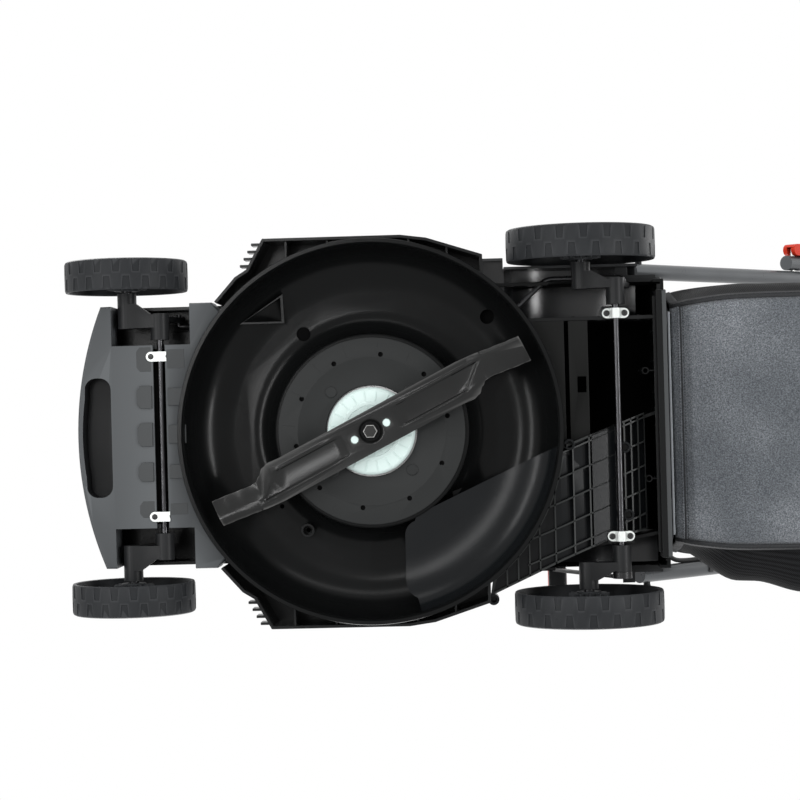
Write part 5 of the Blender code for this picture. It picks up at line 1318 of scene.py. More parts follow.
def dashes(route, pitch, length, radius):
    """A run of stitches along a path."""
    spots = [Vector(p) for p in route]
    made = []
    left = pitch * 0.5
    for a, b in zip(spots, spots[1:]):
        span = (b - a).length
        way = (b - a).normalized()
        while left < span:
            start = a + way * left
            made.append(tube([start, start + way * length], radius, 6))
            left += pitch
        left -= span
    return made


sections = [bag_section(i / BAG_ROWS) for i in range(BAG_ROWS + 1)]
cloth("bag_bottom_panel", [row[LEFT_SEAM:RIGHT_SEAM] for row in sections], bag_felt, 1.8,
      ["bag_cloth"])
cloth("bag_left_side", [row[:LEFT_SEAM] for row in sections], bag_net, 1.0)
right_side = cloth("bag_right_side", [row[RIGHT_SEAM:] for row in sections], bag_net, 1.0)
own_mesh(right_side)
raised = [bag_section(i / BAG_ROWS, 1.0) for i in range(BAG_ROWS + 1)]
cloth("bag_left_binding", [row[LEFT_SEAM - 2:LEFT_SEAM + 1] for row in raised], binding_black, 2.2)
cloth("bag_right_binding", [row[RIGHT_SEAM - 1:RIGHT_SEAM + 2] for row in raised],
      binding_black, 2.2)
last = sections[-1]
rear_rows = []
for i in range(37):
    left, right = Vector(last[i]), Vector(last[72 - i])
    row = []
    for k in range(33):
        u = 2 * k / 32 - 1
        spot = left.lerp(right, k / 32)
        spot.x -= 7 * (1 - u * u) * sin(pi * min(1, (i + 4) / 40))
        spot.x -= 0.8 * noise.noise(Vector((spot.y / 40, spot.z / 40, 0)))
        row.append(tuple(spot))
    rear_rows.append(row)
cloth("bag_rear_panel", rear_rows, bag_net, 1.2)
hem = [bag_section(0.021 * i / 4, 0.9) for i in range(5)]
cloth("bag_front_hem", [row[LEFT_SEAM - 1:RIGHT_SEAM + 1] for row in hem], bag_felt, 1.4)
cloth("bag_side_hems", [row[:LEFT_SEAM] for row in hem], binding_black, 1.4)
cloth("bag_far_side_hem", [row[RIGHT_SEAM:] for row in hem], binding_black, 1.4)
seams = [tube(bag_section(0.0235, 0.9)[LEFT_SEAM - 1:RIGHT_SEAM + 1], 0.9, 8),
         tube(bag_section(0.993, 1.4), 1.6, 8)]
stitch_runs = [dashes(bag_section(share, proud)[LEFT_SEAM:RIGHT_SEAM], 3.4, 2.3, 0.42)
               for share, proud in ((0.029, 1.0), (0.017, 1.6))]
for column in (LEFT_SEAM - 1, RIGHT_SEAM):
    stitch_runs.append(dashes([bag_section(i / 40, 2.1)[column] for i in range(41)], 4.2, 2.9,
                              0.42))
piece("bag_piping", joined(*seams), binding_black, "bag", (), 0, 60)
piece("bag_stitching", joined(*sum(stitch_runs, [])), binding_black, "bag",
      (), 0, 60)

# Bag frame.  A bent steel rod, grey powder-coated, that holds the bag's mouth open and hangs
# it on the machine, with two black sleeves and a strip of sheet steel across the mouth.

frame_coat = streaked("frame_coat", (0.20, 0.215, 0.23), 0.34, (0.006, 3),
                      (0.17, 0.183, 0.196), (0.245, 0.262, 0.278), (0.2, 0.26), Metallic=0.35)
frame_coat.bump(frame_coat.grain(0.0012, 2), 0.00002)
frame_x = BAG_FRONT + 3.6
frame_y = BAG_HALF_HIGH * 0.94 - 10
frame_low = BAG_LOW + 42
frame_half = [(frame_x, 0, BAG_HIGH - 1), (frame_x, frame_y - 9, BAG_HIGH - 1),
              (frame_x, frame_y, BAG_HIGH - 10), (frame_x, frame_y - 6, frame_low + 34),
              (frame_x, frame_y - 16, frame_low + 10), (frame_x, frame_y - 34, frame_low)]
frame_route = frame_half + [(x, -y, z) for x, y, z in frame_half[::-1]]
piece("bag_frame_ring", tube(rounded_route(frame_route, 9), 2.9, 28), frame_coat, "bag",
      ["bag_frame"], 0, 50)
frame_sleeves = [tube([(frame_x, y - 9, frame_low), (frame_x, y + 9, frame_low)], 3.5, 24)
                 for y in (-78, 78)]
piece("bag_frame_sleeves", joined(*frame_sleeves), crank_black, "bag", (),
      0.4, 40)
piece("bag_mouth_strip", block((BAG_FRONT + 1.6, BAG_FRONT + 4.6), (-128, 128), (101, 108.5)),
      frame_coat, "bag", (), 0.8, 40)

# Bag lid.  A stiff black moulding that closes the bag's top, with a carrying handle, shallow
# ribs and a window for the flag; the cloth is stapled under its rim.

LID_LOW = BAG_HIGH + 0.3
bag_lid_black = moulded("bag_lid_black", (0.020, 0.021, 0.022), 0.44, 0.28, 0.0010, 0.00005)
lid_edge = [(BAG_FRONT - BAG_LENGTH * i / 30,
             BAG_HALF_HIGH * along_curve(bag_stations, i / 30)[0] - 1) for i in range(31)]
lid_outline = lid_edge + [(x, -y) for x, y in reversed(lid_edge)]
lid_middle = BAG_FRONT - BAG_LENGTH / 2
lid_inside = [(lid_middle + (x - lid_middle) * 0.975, y * 0.95) for x, y in lid_outline]
flag_x = BAG_FRONT - 0.70 * BAG_LENGTH
lid_shape = worked(rounded_top(prism(lid_outline, LID_LOW, LID_LOW + 14), 7),
                   ("cut", prism(lid_inside, LID_LOW - 5, LID_LOW + 10.5)),
                   ("cut", block((flag_x - 34, flag_x - 4), (-26, 26), (LID_LOW, LID_LOW + 30))),
                   ("cut", block((flag_x - 3, flag_x + 6.5), (-31, 31),
                                 (LID_LOW + 11.4, LID_LOW + 30))),
                   ("cut", joined(*[both_sides(block((x - 2, x + 2), (42, 128),
                                                     (LID_LOW + 12.6, LID_LOW + 20)))
                                    for x in range(-740, -400, 24)])))
piece("bag_lid_shell", lid_shape, bag_lid_black, "bag", ["bag_lid"], 0.8, 32)
grip_mid = BAG_FRONT - 0.42 * BAG_LENGTH
grip_route = [(grip_mid + 55, 0, LID_LOW + 12), (grip_mid + 45, 0, LID_LOW + 46),
              (grip_mid - 45, 0, LID_LOW + 46), (grip_mid - 55, 0, LID_LOW + 12)]
grip_bar = tube(rounded_route(grip_route, 20, 10), 6.0, 32)
grip_bar.transform(Matrix.Scale(1.9, 4, (0, 1, 0)))
piece("bag_lid_handle", grip_bar, bag_lid_black, "bag", (), 0, 50)
grip_feet = [moved(rounded_top(prism(arc((0, 0), (13, 17), 0, 345, 23), LID_LOW + 12,
                                     LID_LOW + 17), 3), (grip_mid + s * 54, 0, 0))
             for s in (1, -1)]
piece("bag_lid_handle_feet", joined(*grip_feet), bag_lid_black, "bag", (),
      0.3, 40)

# Full-bag flag.  A thin orange flap over the window in the lid: the air stream holds it up
# until the bag is full.

signal_orange = moulded("signal_orange", (0.50, 0.026, 0.007), 0.34, 0.14, 0.0012, 0.00002, 0.05)
flag_plate = rounded_top(block((flag_x - 38, flag_x + 3), (-30, 30),
                               (LID_LOW + 14.3, LID_LOW + 17.1)), 1.1, 3)
flag_ribs = [block((flag_x - 34, flag_x - 1), (y - 0.8, y + 0.8), (LID_LOW + 17, LID_LOW + 17.7))
             for y in (-20, -10, 0, 10, 20)]
piece("bag_full_flag_plate", joined(flag_plate, *flag_ribs), signal_orange, "flag",
      ["bag_full_flag"], 0.3, 36)

# Rear flap.  A sprung black cover over the bag's mouth, on a steel pin through two ears of the
# deck; it swings up to let the bag out and closes the tunnel when the bag is off.

FLAP_AXIS = (-330.0, 226.0)
FLAP_HALF = 150.0
EAR_YS = (-100, 100)
flap_black = moulded("flap_black", (0.028, 0.029, 0.031), 0.40, 0.28)
flap_side = [(-324, 223.5), (-324, 234.6), (-325.2, 237.0), (-329, 240.0), (-424, 240.0),
             (-426, 239.2), (-427.6, 236.9), (-337, 236.6), (-337, 223), (-335.6, 221),
             (-333, 220.1), (-327, 220.1), (-325, 221.2)]
flap_shape = worked(
    side_prism(flap_side, -FLAP_HALF, FLAP_HALF),
    ("cut", cross_pin(*FLAP_AXIS, -FLAP_HALF - 5, FLAP_HALF + 5, 2.8, 32)),
    ("cut", joined(*[block((-339, -321), (y - 6.5, y + 6.5), (214, 232.5)) for y in EAR_YS],
                   block((-339, -321), (-14, 14), (214, 234.5)))),
    ("cut", joined(*[block((-416, -346), (y - 1.6, y + 1.6), (239.3, 244))
                     for y in range(-132, 133, 12)])))
piece("rear_flap_cover", flap_shape, flap_black, "flap", ["rear_flap"], 0.5, 32)
ear_side = [(-334, 203), (-334, 227)] + arc(FLAP_AXIS, 4.2, 165, 15, 10) + [(-326, 227),
                                                                           (-326, 203)]
ears = worked(joined(*[side_prism(ear_side, y - 5.5, y + 5.5) for y in EAR_YS]),
              ("cut", cross_pin(*FLAP_AXIS, -120, 120, 2.8, 28)))
piece("deck_flap_ears", ears, deck_black, "mower", (), 0.4, 34)
pin_zinc = streaked("pin_zinc", (0.50, 0.50, 0.49), 0.30, (0.002, 3), (0.40, 0.40, 0.39),
                    (0.60, 0.60, 0.58), (0.2, 0.22), Metallic=0.95)
piece("flap_pin_rod", cross_pin(*FLAP_AXIS, -144, 144, 2.5, 32, 0.5), pin_zinc, "mower",
      ["flap_pin"], 0, 40)
coil = [(FLAP_AXIS[0] + 3.8, -9, 216)]
coil += [(FLAP_AXIS[0] + 3.8 * cos(2 * pi * i / 24), (i / 24 - 3) * 3.0,
          FLAP_AXIS[1] + 3.8 * sin(2 * pi * i / 24)) for i in range(6 * 24 + 1)]
coil.append((FLAP_AXIS[0] + 3.8, 9, 232.5))
piece("flap_spring_wire", tube(coil, 0.8, 12), pin_zinc, "mower",
      ["flap_spring"], 0, 50)

# Handle brackets.  Black glass-filled mouldings screwed to the sides of the rear body; each has
# a stud for its lower tube and a step under the tube's foot that stops it from falling back.

FOOT = Vector((-318.0, 0, 205.0))


def rounded_plan(corners, radius, steps):
    """A flat outline of two coordinates, with its corners turned into bends."""
    return [tuple(spot) for spot in rounded_route(corners, radius, steps)]


bracket_side = rounded_plan([(-300, 158), (-286, 158), (-290, 205), (-306, 219), (-332, 219),
                             (-342, 200), (-340, 158), (-300.01, 158)], 6, 6)[1:-1]
rest_side = [(-300, 158), (-334, 158), (-326, 176), (-306, 186), (-300, 176)]
for side, word in SIDES:
    plate = side_prism(bracket_side, 166.3, 171.2)
    rest = joined(side_prism(rest_side, 171, 174.6),
                  side_prism([(-286.5, 158), (-301, 158), (-301, 163), (-287, 165)], 171, 186.4))
    stud = turned([(0, 169.2), (4, 169.2), (4, 193.2), (4.6, 193.4), (4.6, 194.8), (3.6, 195.5),
                   (0, 195.5)], 32, (FOOT.x, 0, FOOT.z), "Y")
    bracket = joined(plate, rest, stud)
    piece(f"{word}_handle_bracket_body", mirrored(bracket, side), crank_black, "mower",
          [f"{word}_handle_bracket"], 0.6, 34)
    heads = [mirrored(turned([(0, 171.0), (4.2, 171.0), (4.0, 172.4), (2.6, 173.2), (0, 173.4)],
                             28, (x, 0, z), "Y"), side) for x, z in ((-330, 168), (-296, 170))]
    piece(f"{word}_bracket_screws", joined(*heads), screw_black, "mower", (), 0, 34)

# Lower tubes.  Grey powder-coated steel tubes, one on each side, bored across for the stud at
# the foot and for the clamp's bolt.

tube_grey = Finish("tube_grey", (0.100, 0.106, 0.112), 0.28, Metallic=0.45,
                   Specular_IOR_Level=0.5)
coat_cloud = tube_grey.grain(0.05, 3)
coat_peel = tube_grey.grain(0.0022, 2)
tube_grey.feed("Base Color", tube_grey.blend(coat_cloud, (0.085, 0.090, 0.095),
                                             (0.118, 0.125, 0.131)))
tube_grey.feed("Roughness", coat_cloud * 0.12 + coat_peel * 0.08 + 0.20)
tube_grey.bump(coat_peel, 0.00002)
LOWER_Y = 181.0
TUBE_R = 9.5
HANDLE_LEAN = radians(46)
RISE = Vector((-cos(HANDLE_LEAN), 0, sin(HANDLE_LEAN)))
CLAMP = FOOT + RISE * 312


def beside(y):
    """A step to the left."""
    return Vector((0, y, 0))


def straight(y, start, end, radius, sides=40):
    """A straight tube between two distances up the handle from its clamps."""
    spots = [CLAMP + RISE * d + beside(y) for d in (start, end)]
    return tube([tuple(s) for s in spots], radius, sides)


for side, word in SIDES:
    y = side * LOWER_Y
    across = sorted((y - 20, y + 20))
    leg = worked(straight(y, -326, 14, TUBE_R),
                 ("cut", cross_pin(FOOT.x, FOOT.z, *across, 4.3, 28)),
                 ("cut", cross_pin(CLAMP.x, CLAMP.z, *across, 3.3, 24)))
    piece(f"lower_{word}_tube_leg", leg, tube_grey, "lower_handle",
          [f"lower_{word}_tube"], 0.35, 40)

# Upper handle.  One steel tube bent into a bow and coated like the lower tubes, with a black
# foam sleeve over its cross bar.

UPPER_Y = 200.6
HANDLE_LENGTH = 815.0
BOW_BEND = 55.0
BOX_UP = HANDLE_LENGTH - 150
FORE = Vector((RISE.z, 0, -RISE.x))
turn_at = HANDLE_LENGTH - BOW_BEND
bow = []
for side in (1, -1):
    foot = CLAMP + beside(side * UPPER_Y)
    leg = [foot - RISE * 14, foot + RISE * turn_at]
    for i in range(1, 17):
        a = radians(90 * i / 16)
        leg.append(CLAMP + RISE * (turn_at + BOW_BEND * sin(a)) +
                   beside(side * (UPPER_Y - BOW_BEND * (1 - cos(a)))))
    bow += leg if side == 1 else leg[::-1]
pivot = CLAMP + RISE * BOX_UP + FORE * 2
bow_shape = worked(tube([tuple(p) for p in bow], TUBE_R, 40),
                   ("cut", joined(*[cross_pin(CLAMP.x, CLAMP.z, *sorted((s * 180, s * 221)), 3.3,
                                              24) for s in (1, -1)])),
                   ("cut", cross_pin(pivot.x, pivot.z, 186, 201, 3.9, 24)))
piece("upper_handle_bow", bow_shape, tube_grey, "upper_handle",
      ["upper_handle"], 0.35, 40)

foam_black = Finish("foam_black", (0.020, 0.020, 0.021), 0.92, Specular_IOR_Level=0.15)
pores = foam_black.cells(0.0011)
foam_cloud = foam_black.grain(0.02, 3)
foam_black.feed("Base Color", foam_black.blend(pores, (0.010, 0.010, 0.0105),
                                               (0.030, 0.030, 0.0315)))
foam_black.feed("Roughness", foam_cloud * 0.1 + 0.85)
foam_black.bump(pores, 0.0004)
GRIP = CLAMP + RISE * HANDLE_LENGTH
GRIP_HALF = UPPER_Y - BOW_BEND - 26
sleeve = [(9.8, -GRIP_HALF + 1), (11, -GRIP_HALF), (12.6, -GRIP_HALF + 0.6),
          (13.6, -GRIP_HALF + 2.4)]
sleeve += [(13.75 + 0.22 * sin(k * 0.9), -GRIP_HALF + 2.4 + (2 * GRIP_HALF - 4.8) * k / 40)
           for k in range(1, 40)]
sleeve += [(r, -h) for r, h in sleeve[3::-1]]
foam_sleeve = piece("foam_grip_sleeve", turned(sleeve, 56, tuple(GRIP), "Y"), foam_black,
                    "upper_handle", ["foam_grip"], 0, 50)

# Handle clamps.  On each side a carriage bolt runs through both tubes to an orange cam lever,
# with black plastic saddles between the lever and the tube.

clamp_black = moulded("clamp_black", (0.020, 0.021, 0.022), 0.40, 0.30)


def set_up(shape, x, y, z, spot):
    """Stand a shape on the axes x, y and z at a spot."""
    shape.transform(Matrix((x, y, z)).transposed().to_4x4())
    shape.transform(Matrix.Translation(spot))
    return closed(shape)


def open_ring(outer, inner, first, last, step, half, centre=(0, 0)):
    """A ring open between two angles, twice half long."""
    return prism([polar(outer, a, centre) for a in range(first, last + 1, step)] +
                 [polar(inner, a, centre) for a in range(last, first - 1, -step)], -half, half)


for side, word in SIDES:
    ends = [(0, 167.5), (5.5, 167.5), (7.4, 168.4), (8, 169.8), (8, 170.9), (3, 170.9), (3, 218.4),
            (0, 218.4)]
    bolt = turned(ends, 32, (CLAMP.x, 0, CLAMP.z), "Y")
    piece(f"{word}_clamp_bolt_shank", mirrored(bolt, side), pin_zinc,
          "upper_handle", [f"{word}_clamp_bolt"], 0, 30)
    frame_at = Matrix((RISE, Vector((0, side, 0)), FORE)).transposed().to_4x4()
    frame_at.translation = CLAMP + Vector((0, side * 217.9, 0))
    outline = arc((0, 0), 7.5, 90, 270, 20) + [(16, -7.5), (28, -6.6), (44, -3.6), (58, -0.6),
                                               (61.4, 0.6), (61.8, 2.2), (60.6, 5.0), (58.4, 5.9),
                                               (40, 7.0), (16, 7.5)]
    lever = worked(prism(outline, -9, 9), ("cut", block((-11, 3.4), (-11, 3.4), (-3.4, 3.4))),
                   ("cut", joined(*[block((20 + 6 * k, 22.4 + 6 * k), (7.0 - 0.2 * k, 12),
                                          (-6.5, 6.5)) for k in range(5)])))
    lever.transform(frame_at)
    piece(f"{word}_clamp_cam", closed(lever), signal_orange, f"{word}_cam",
          [f"{word}_clamp_lever"], 0.9, 34)
    barrel = tube([(0, 0, -7.6), (0, 0, -3.6)], 3.2, 24)
    barrel = joined(barrel, tube([(0, 0, 3.6), (0, 0, 7.6)], 3.2, 24))
    barrel.transform(frame_at)
    piece(f"{word}_cam_pin", closed(barrel), pin_zinc, f"{word}_cam", (), 0, 34)
    saddle = open_ring(10.1, 12.4, 0, 180, 12, 17)
    set_up(saddle, FORE, beside(side), RISE, CLAMP + RISE * 34 + beside(side * UPPER_Y))
    piece(f"{word}_tube_saddle", saddle, clamp_black, "upper_handle",
          (), 0.5, 34)

# Switch box.  A two-part black housing clipped round the right leg of the bow, with the orange
# start button in its face and the pivot of the switch bail in its inner side.

box_black = moulded("box_black", (0.019, 0.020, 0.021), 0.42, 0.28)


def packed(node):
    """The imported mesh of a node, in millimetres, with its flat faces made whole again."""
    shape = bmesh.new()
    shape.from_mesh(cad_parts[node].data)
    shape.transform(Matrix.Translation((-SPINDLE_X, 0, 0)) @ Matrix.Scale(1 / MM, 4))
    bmesh.ops.remove_doubles(shape, verts=shape.verts, dist=0.002)
    shape.normal_update()
    bmesh.ops.dissolve_limit(shape, angle_limit=radians(0.5), verts=shape.verts,
                             edges=shape.edges)
    return shape


base = CLAMP + RISE * BOX_UP
box_frame = Matrix.Translation((base.x, -UPPER_Y, base.z)) @ Matrix.Rotation(radians(-44), 4, "Y")
piece("switch_box_shell", packed("switch_box"), box_black, "upper_handle",
      ["switch_box"], 0.8, 34)
trim = []
for z in (-36, 34):
    head = turned([(0, 0), (3.6, 0), (3.4, 1.2), (2.2, 1.8), (0, 1.9)], 28)
    head.transform(Matrix.Translation((-8, 37.8, z)) @ Matrix.Rotation(-pi / 2, 4, "X"))
    trim.append(head)
trim_shape = joined(*trim)
trim_shape.transform(box_frame)
piece("switch_box_screws", closed(trim_shape), screw_black, "upper_handle", (),
      0, 34)
press = base + RISE * 22 + FORE * 14 + beside(26 - UPPER_Y)
knob = turned([(0, 4), (8.3, 4), (8.3, 14.6), (7.9, 15.9), (6.9, 16.7), (5.4, 16.8), (4.2, 16.2),
               (0, 15.6)], 56)
piece("start_button_cap", set_up(knob, RISE, beside(1), FORE, press), signal_orange, "button",
      ["start_button"], 0, 40)

# Switch bail.  A black-coated steel bow that the user squeezes to the grip; letting it go
# stops the motor.

lean = RISE * cos(radians(26)) + FORE * sin(radians(26))


def bail_spot(y, reach):
    """A spot on the bail at a reach from its pivot."""
    return tuple(pivot + lean * reach + beside(y))


bail_corners = [bail_spot(198.4, 0), bail_spot(183.2, 0), bail_spot(182.8, 128),
                bail_spot(-154.3, 128), bail_spot(-154.7, 0), bail_spot(-170.0, 0)]
bail_route = [bail_corners[0], bail_spot(187.5, 0), bail_spot(184.6, 0.8), bail_spot(183.2, 3)]
bail_route += rounded_route([bail_spot(182.8, 6), bail_spot(182.8, 128), bail_spot(-154.3, 128),
                             bail_spot(-154.3, 6)], 15, 12)
bail_route += [bail_spot(-154.7, 3), bail_spot(-156.1, 0.8), bail_spot(-159, 0), bail_corners[5]]
bail_coat = streaked("bail_coat", (0.018, 0.018, 0.019), 0.34, (0.002, 3),
                     (0.013, 0.013, 0.014), (0.026, 0.026, 0.028), (0.2, 0.24),
                     Specular_IOR_Level=0.5)
piece("bail_lever_bow", tube(bail_route, 3.3, 28), bail_coat, "bail",
      ["bail_lever"], 0, 50)

# Control cable.  A rubber-covered lead clipped inside the right tubes, from the switch box to
# the motor; it bends at the fold of the handle.

rubber = streaked("cable_rubber", (0.018, 0.018, 0.018), 0.62, (0.006, 4),
                  (0.012, 0.012, 0.012), (0.028, 0.028, 0.028), (0.2, 0.5),
                  Specular_IOR_Level=0.3)


def cable_path(stops):
    """A smooth path inside the right tubes through (distance up from the clamp, y) stops."""
    way = 1 if stops[-1][0] > stops[0][0] else -1
    reach = abs(stops[-1][0] - stops[0][0])
    steps = int(reach / 7)
    keyed = [(d * way, y) for d, y in stops]
    spots = [keyed[0][0] + reach * i / steps for i in range(steps + 1)]
    return [CLAMP + RISE * (d * way) + beside(along_curve(keyed, d)[0]) for d in spots]


FOLD_Y = -164.1
upper_stops = [(12, FOLD_Y), (18, FOLD_Y), (32, -167.1), (58, -185.8), (80, -187.8),
               (110, -187.8), (380, -187.8), (613, -187.8)]
lower_stops = [(-12, FOLD_Y), (-18, FOLD_Y), (-36, -168.2), (-60, -168.2), (-180, -168.2),
               (-252, -168.2), (-278, -158.1)]
piece("upper_cable_lead", tube(cable_path(upper_stops), 2.8, 20), rubber, "upper_handle",
      ["upper_cable"], 0, 50)
piece("lower_cable_lead", tube(cable_path(lower_stops), 2.8, 20), rubber, "lower_handle",
      ["lower_cable"], 0, 50)
for stretch, y, spots, body in (("upper", -UPPER_Y, (150, 330, 520), "upper_handle"),
                                ("lower", -LOWER_Y, (-90, -200), "lower_handle")):
    clips = []
    for d in spots:
        clip = joined(open_ring(11.0, 9.6, -118, 118, 8, 4),
                      open_ring(4.2, 3.0, -140, 140, 14, 4, (12.8, 0)))
        clips.append(set_up(clip, beside(1), FORE, RISE, CLAMP + RISE * d + beside(y)))
    piece(f"{stretch}_cable_clips", joined(*clips), clamp_black, body, (), 0.3,
          34)
bridge_shape = tube([CLAMP + RISE * (13 - 26 * i / 14) + beside(FOLD_Y) for i in range(15)],
                    2.7, 20)
bridge_mesh = bpy.data.meshes.new("cable_bridge")
bridge_shape.transform(Matrix.Scale(MM, 4) @ Matrix.Translation((SPINDLE_X, 0, 0)))
bridge_shape.to_mesh(bridge_mesh)
bridge_mesh.shade_smooth()
bridge_mesh.materials.append(rubber.material)
cable_bridge = bpy.data.objects.new("cable_bridge", bridge_mesh)
bpy.context.collection.objects.link(cable_bridge)
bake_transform(cable_bridge)

# Height lever.  A pressed and blackened steel arm bolted to the right rear crank, with an
# orange moulded grip above the wheel; it turns the rear rod and, by the link, the front one.

lever_black = streaked("lever_black", (0.02, 0.02, 0.021), 0.36, (0.003, 3),
                       (0.012, 0.012, 0.0125), (0.026, 0.026, 0.027), (0.2, 0.26), Metallic=0.6)
piece("height_lever_arm", packed("height_lever"), lever_black, "rear_axle",
      ["height_lever"], 0.4, 34)
lever_grip = worked(packed("height_lever_grip"),
                    ("cut", block((-240, -190), (-220, -160), (200, 214))),
                    ("cut", joined(*[block((-226, -220.4), (-202, -172), (z, z + 2.2))
                                     for z in (218, 224, 230, 236)])))
lever_base = worked(packed("height_lever_grip"),
                    ("cut", block((-240, -190), (-220, -160), (213.8, 260))))
piece("height_lever_grip_cover", lever_grip, signal_orange, "rear_axle",
      ["height_lever_grip"], 0.8, 34)
piece("height_lever_grip_base", lever_base, crank_black, "rear_axle", (), 0.5,
      34)

# Hood.  A one-piece dark grey cover screwed over the motor, with cooling louvres in its sides
# and the battery bay's opening in its top; two ears in front carry the lid's pin.

HOOD_LOW = 116.3
HOOD_TOP = 268.0
HOOD_HALF = 159.0
LID_HINGE = (107, 274.3)
hood_grey = moulded("hood_grey", (0.040, 0.042, 0.045), 0.34, 0.36, 0.0009, 0.00003, 0.07)
nose_angle = degrees(atan2(HOOD_HALF, sqrt(207.0 ** 2 - HOOD_HALF ** 2))) - 6
hood_base = arc((0, 0), 207.0, -nose_angle, nose_angle, 48)
hood_side = rounded_plan([hood_base[-1], (105, 159), (30, 159), (-60, 159), (-114, 156),
                          (-118, 145), (-118, 60)], 16, 6)[1:]
hood_base = hood_base + hood_side + [(x, -y) for x, y in reversed(hood_side)]
hood_levels = [(0.0, 1.0, 1.0), (0.30, 0.985, 0.98), (0.52, 0.93, 0.93), (0.72, 0.84, 0.83),
               (0.88, 0.76, 0.73), (0.97, 0.70, 0.64), (1.0, 0.64, 0.57)]


def hood_ring(share, inset):
    """The hood's outline at a share of its height, drawn in by inset."""
    along, across = along_curve(hood_levels, share)
    ring = []
    for x, y in hood_base:
        shrink = along if x > 20 else 1 - (1 - along) * 0.3
        spot = Vector(((x - 20) * shrink, y * across))
        spot -= spot.normalized() * inset
        ring.append((20 + spot.x, spot.y, HOOD_LOW + (HOOD_TOP - HOOD_LOW - inset) * share))
    return ring


hood_shares = [i / 22 for i in range(20)] + [0.885, 0.91, 0.935, 0.955, 0.97, 0.983, 0.993, 1.0]
hood_skin = lofted([hood_ring(s, 0.0) for s in hood_shares])
hood_room = [hood_ring(s, 3.5) for s in hood_shares]
hood_room[0] = [(x, y, HOOD_LOW - 5) for x, y, _ in hood_room[0]]
louvres = []
for k in range(9):
    slat = block((-1.7, 1.7), (118, 172), (158, 196))
    slat.transform(Matrix.Rotation(radians(16), 4, "Y"))
    louvres.append(moved(slat, (-110 + 11 * k, 0, 2)))
hood_ears = [side_prism([(102.5, 262), (102.5, 274)] + arc(LID_HINGE, 4.4, 175, 5, 12) +
                        [(111.3, 262)], s * 22 - 6, s * 22 + 6) for s in (1, -1)]
hood_shape = worked(hood_skin, ("cut", lofted(hood_room)),
                    ("cut", block((-52, 92), (-62, 62), (HOOD_TOP - 20, HOOD_TOP + 5))),
                    ("cut", joined(block((120, 215), (121, 135), (113, FRONT_TOP)),
                                   block((-130, -100), (121, 135), (113, FRONT_TOP + 5)))),
                    ("cut", both_sides(joined(*louvres))),
                    ("weld", joined(*hood_ears)),
                    ("cut", cross_pin(*LID_HINGE, -40, 40, 2.3, 28)))
piece("hood_shell", hood_shape, hood_grey, "mower", ["hood"], 0.5, 28)
hood_bosses = drums(6.0, HOOD_LOW, HOOD_LOW + 3.0, 32, ((186, 100), (186, -100)))
piece("hood_front_bosses", hood_bosses, hood_grey, "mower", (), 0.8, 40)

# Battery tub.  A black moulding hung in the hood's opening; its ribs guide the battery pack
# down on to its terminals.

tub_black = moulded("tub_black", (0.020, 0.021, 0.022), 0.46, 0.24)
tub_ribs = [block((x - 1, x + 1), (-62.4, -60.6), (176, 258)) for x in (-30, 20, 70)]
tub_ribs += [block((-20, 60), (23, 24.6), (175, 215))]
piece("battery_tub_walls", packed("battery_tub"), tub_black, "mower",
      ["battery_tub"], 0.7, 34)
piece("battery_tub_ribs", joined(*tub_ribs), tub_black, "mower", (), 0.3, 34)

# Battery pack.  A black two-shell pack with grip grooves, a seam round it and a grey latch
# button on its top.

pack_black = moulded("pack_black", (0.026, 0.027, 0.029), 0.48, 0.24, 0.0012, 0.00006)
seam_ring = worked(block((-38.6, 78.6), (-60.6, 22.6), (230.5, 231.5)),
                   ("cut", block((-37.2, 77.2), (-59.2, 21.2), (200, 250))))
grooves = [block((x - 1.3, x + 1.3), (-70, 30), (250, 257.2)) for x in range(-22, 63, 7)]
groove_keep = joined(block((-40, 80), (-60.5, -58.4), (245, 262)),
                     block((-40, 80), (20.4, 22.5), (245, 262)))
pack_shape = worked(packed("battery_pack"), ("cut", seam_ring))
for groove in grooves:
    pack_shape = worked(pack_shape, ("cut", worked(groove, ("keep", groove_keep.copy()))))
piece("battery_pack_shell", pack_shape, pack_black, "mower",
      ["battery_pack"], 0.8, 34)
latch = rounded_top(block((48, 70), (-36, -2), (258, 261.5)), 1.4, 3)
piece("battery_pack_latch", latch, hood_grey, "mower", (), 0.5, 34)

# Safety key.  An orange plastic key with a finger hole; the motor can't start without it.

key_shape = worked(packed("safety_key"),
                   ("cut", joined(*[block((9, 31), (y, y + 2), (180 + 3.4 * k, 181.2 + 3.4 * k))
                                    for k in range(3) for y in (39.2, 46.8)])))
piece("safety_key_body", key_shape, signal_orange, "mower", ["safety_key"],
      0.5, 34)

# Speed controller.  A sealed electronics box with cooling fins on top, under the rear of the
# hood; it drives the motor from the battery.

case_grey = streaked("case_grey", (0.22, 0.225, 0.23), 0.42, (0.0014, 4), (0.17, 0.174, 0.178),
                     (0.28, 0.285, 0.29), (0.2, 0.32), 0.00005, Metallic=0.7)
fin_cuts = joined(*[block((-101 + 5.2 * k, -98 + 5.2 * k), (-54, 54), (143, 152))
                    for k in range(8)])
piece("speed_controller_case", worked(packed("speed_controller"), ("cut", fin_cuts)), case_grey,
      "mower", ["speed_controller"], 0.5, 34)

# Motor.  A drawn steel can over the windings, with a flange on the motor plate, vents round its
# crown and its shaft running down to the spindle disc and blade.

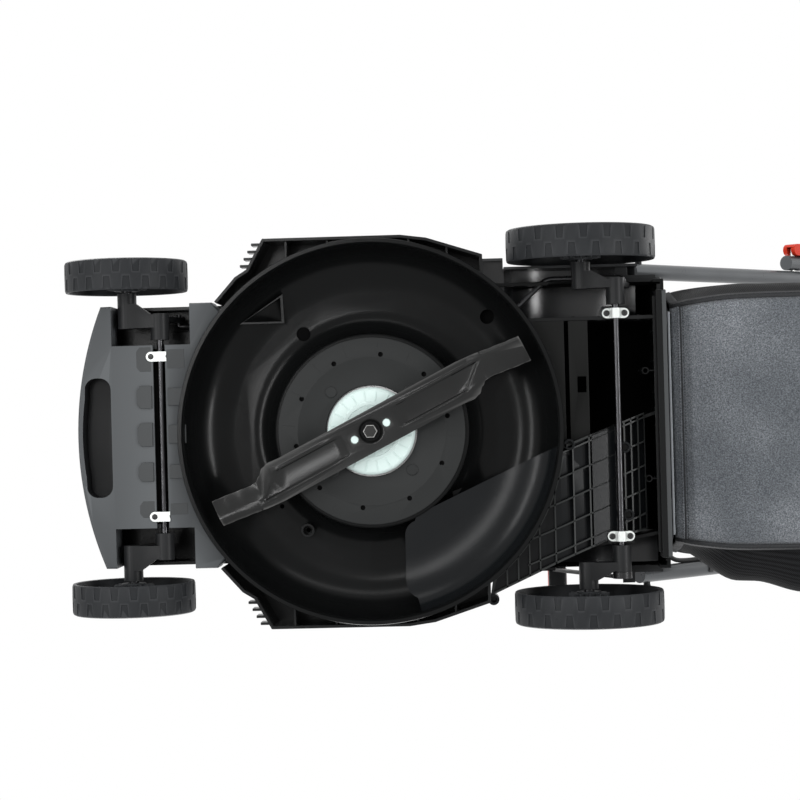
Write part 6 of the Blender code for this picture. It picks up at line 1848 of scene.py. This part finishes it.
can_steel = streaked("can_steel", (0.42, 0.42, 0.42), 0.30, (0.01, 4), (0.32, 0.32, 0.32),
                     (0.50, 0.50, 0.50), (0.2, 0.2), Metallic=0.95)
can_profile = [(8.3, 83.3), (61.2, 83.3), (62, 84.1), (62, 90.5), (61.2, 91.3), (47.5, 91.3),
               (46.4, 92.0), (46, 93.2), (46, 161), (45.2, 164.4), (43.4, 166.6), (41, 167.3),
               (26, 167.3), (25, 166.1), (20, 166.1), (19, 167.3), (8.3, 167.3)]
vents = [moved(block((29, 39), (-2.4, 2.4), (160, 172)), (0, 0, 0), 45 * i) for i in range(8)]
can_shape = turned(can_profile, 112)
for vent in vents:
    can_shape = worked(can_shape, ("cut", worked(vent, ("keep", drum(41, 165.4, 169, 64)))))
piece("motor_can_shell", can_shape, can_steel, "mower", ["motor_can"], 0.25, 30)
piece("motor_shaft_bar", worked(packed("motor_shaft")), rod_steel, "blade_rotor",
      ["motor_shaft"], 0.3, 34)

# Battery lid.  A smooth dark grey cover with a raised panel and a lip for the fingers, hinged
# on two ears of the hood.

lid_low = HOOD_TOP + 0.3


def lid_plan(inset, corner):
    """The lid's outline, drawn in by inset, with rounded corners."""
    f, r, h = 112.0 - inset, -64.0 + inset, 70.0 - inset
    return rounded_plan([(f, 0), (f, h), (r, h), (r, -h), (f, -h), (f, 0.01)], corner, 10)[1:-1]


lid_box = rounded_top(prism(lid_plan(0, 26), lid_low, lid_low + 24), 9, 6)
lid_ready = worked(
    lid_box,
    ("cut", block((-56, 98), (-62, 62), (lid_low - 5, lid_low + 21))),
    ("cut", block((100, 117), (-36, 36), (lid_low - 5, lid_low + 13))),
    ("cut", side_prism([(107, lid_low - 2), (107, lid_low), (112, lid_low + 2.9),
                        (114, lid_low + 2.9), (114, lid_low - 2)], -72, 72)),
    ("cut", worked(prism(lid_plan(20, 18), lid_low + 23.1, lid_low + 26),
                   ("cut", prism(lid_plan(22, 17), lid_low + 20, lid_low + 30)))),
    ("weld", cross_pin(*LID_HINGE, -38, 38, 2.0, 28)),
    ("cut", block((-70, -60), (-24, 24), (lid_low - 3, lid_low + 4))))
piece("battery_lid_cover", lid_ready, hood_grey, "lid", ["battery_lid"], 0.6, 30)
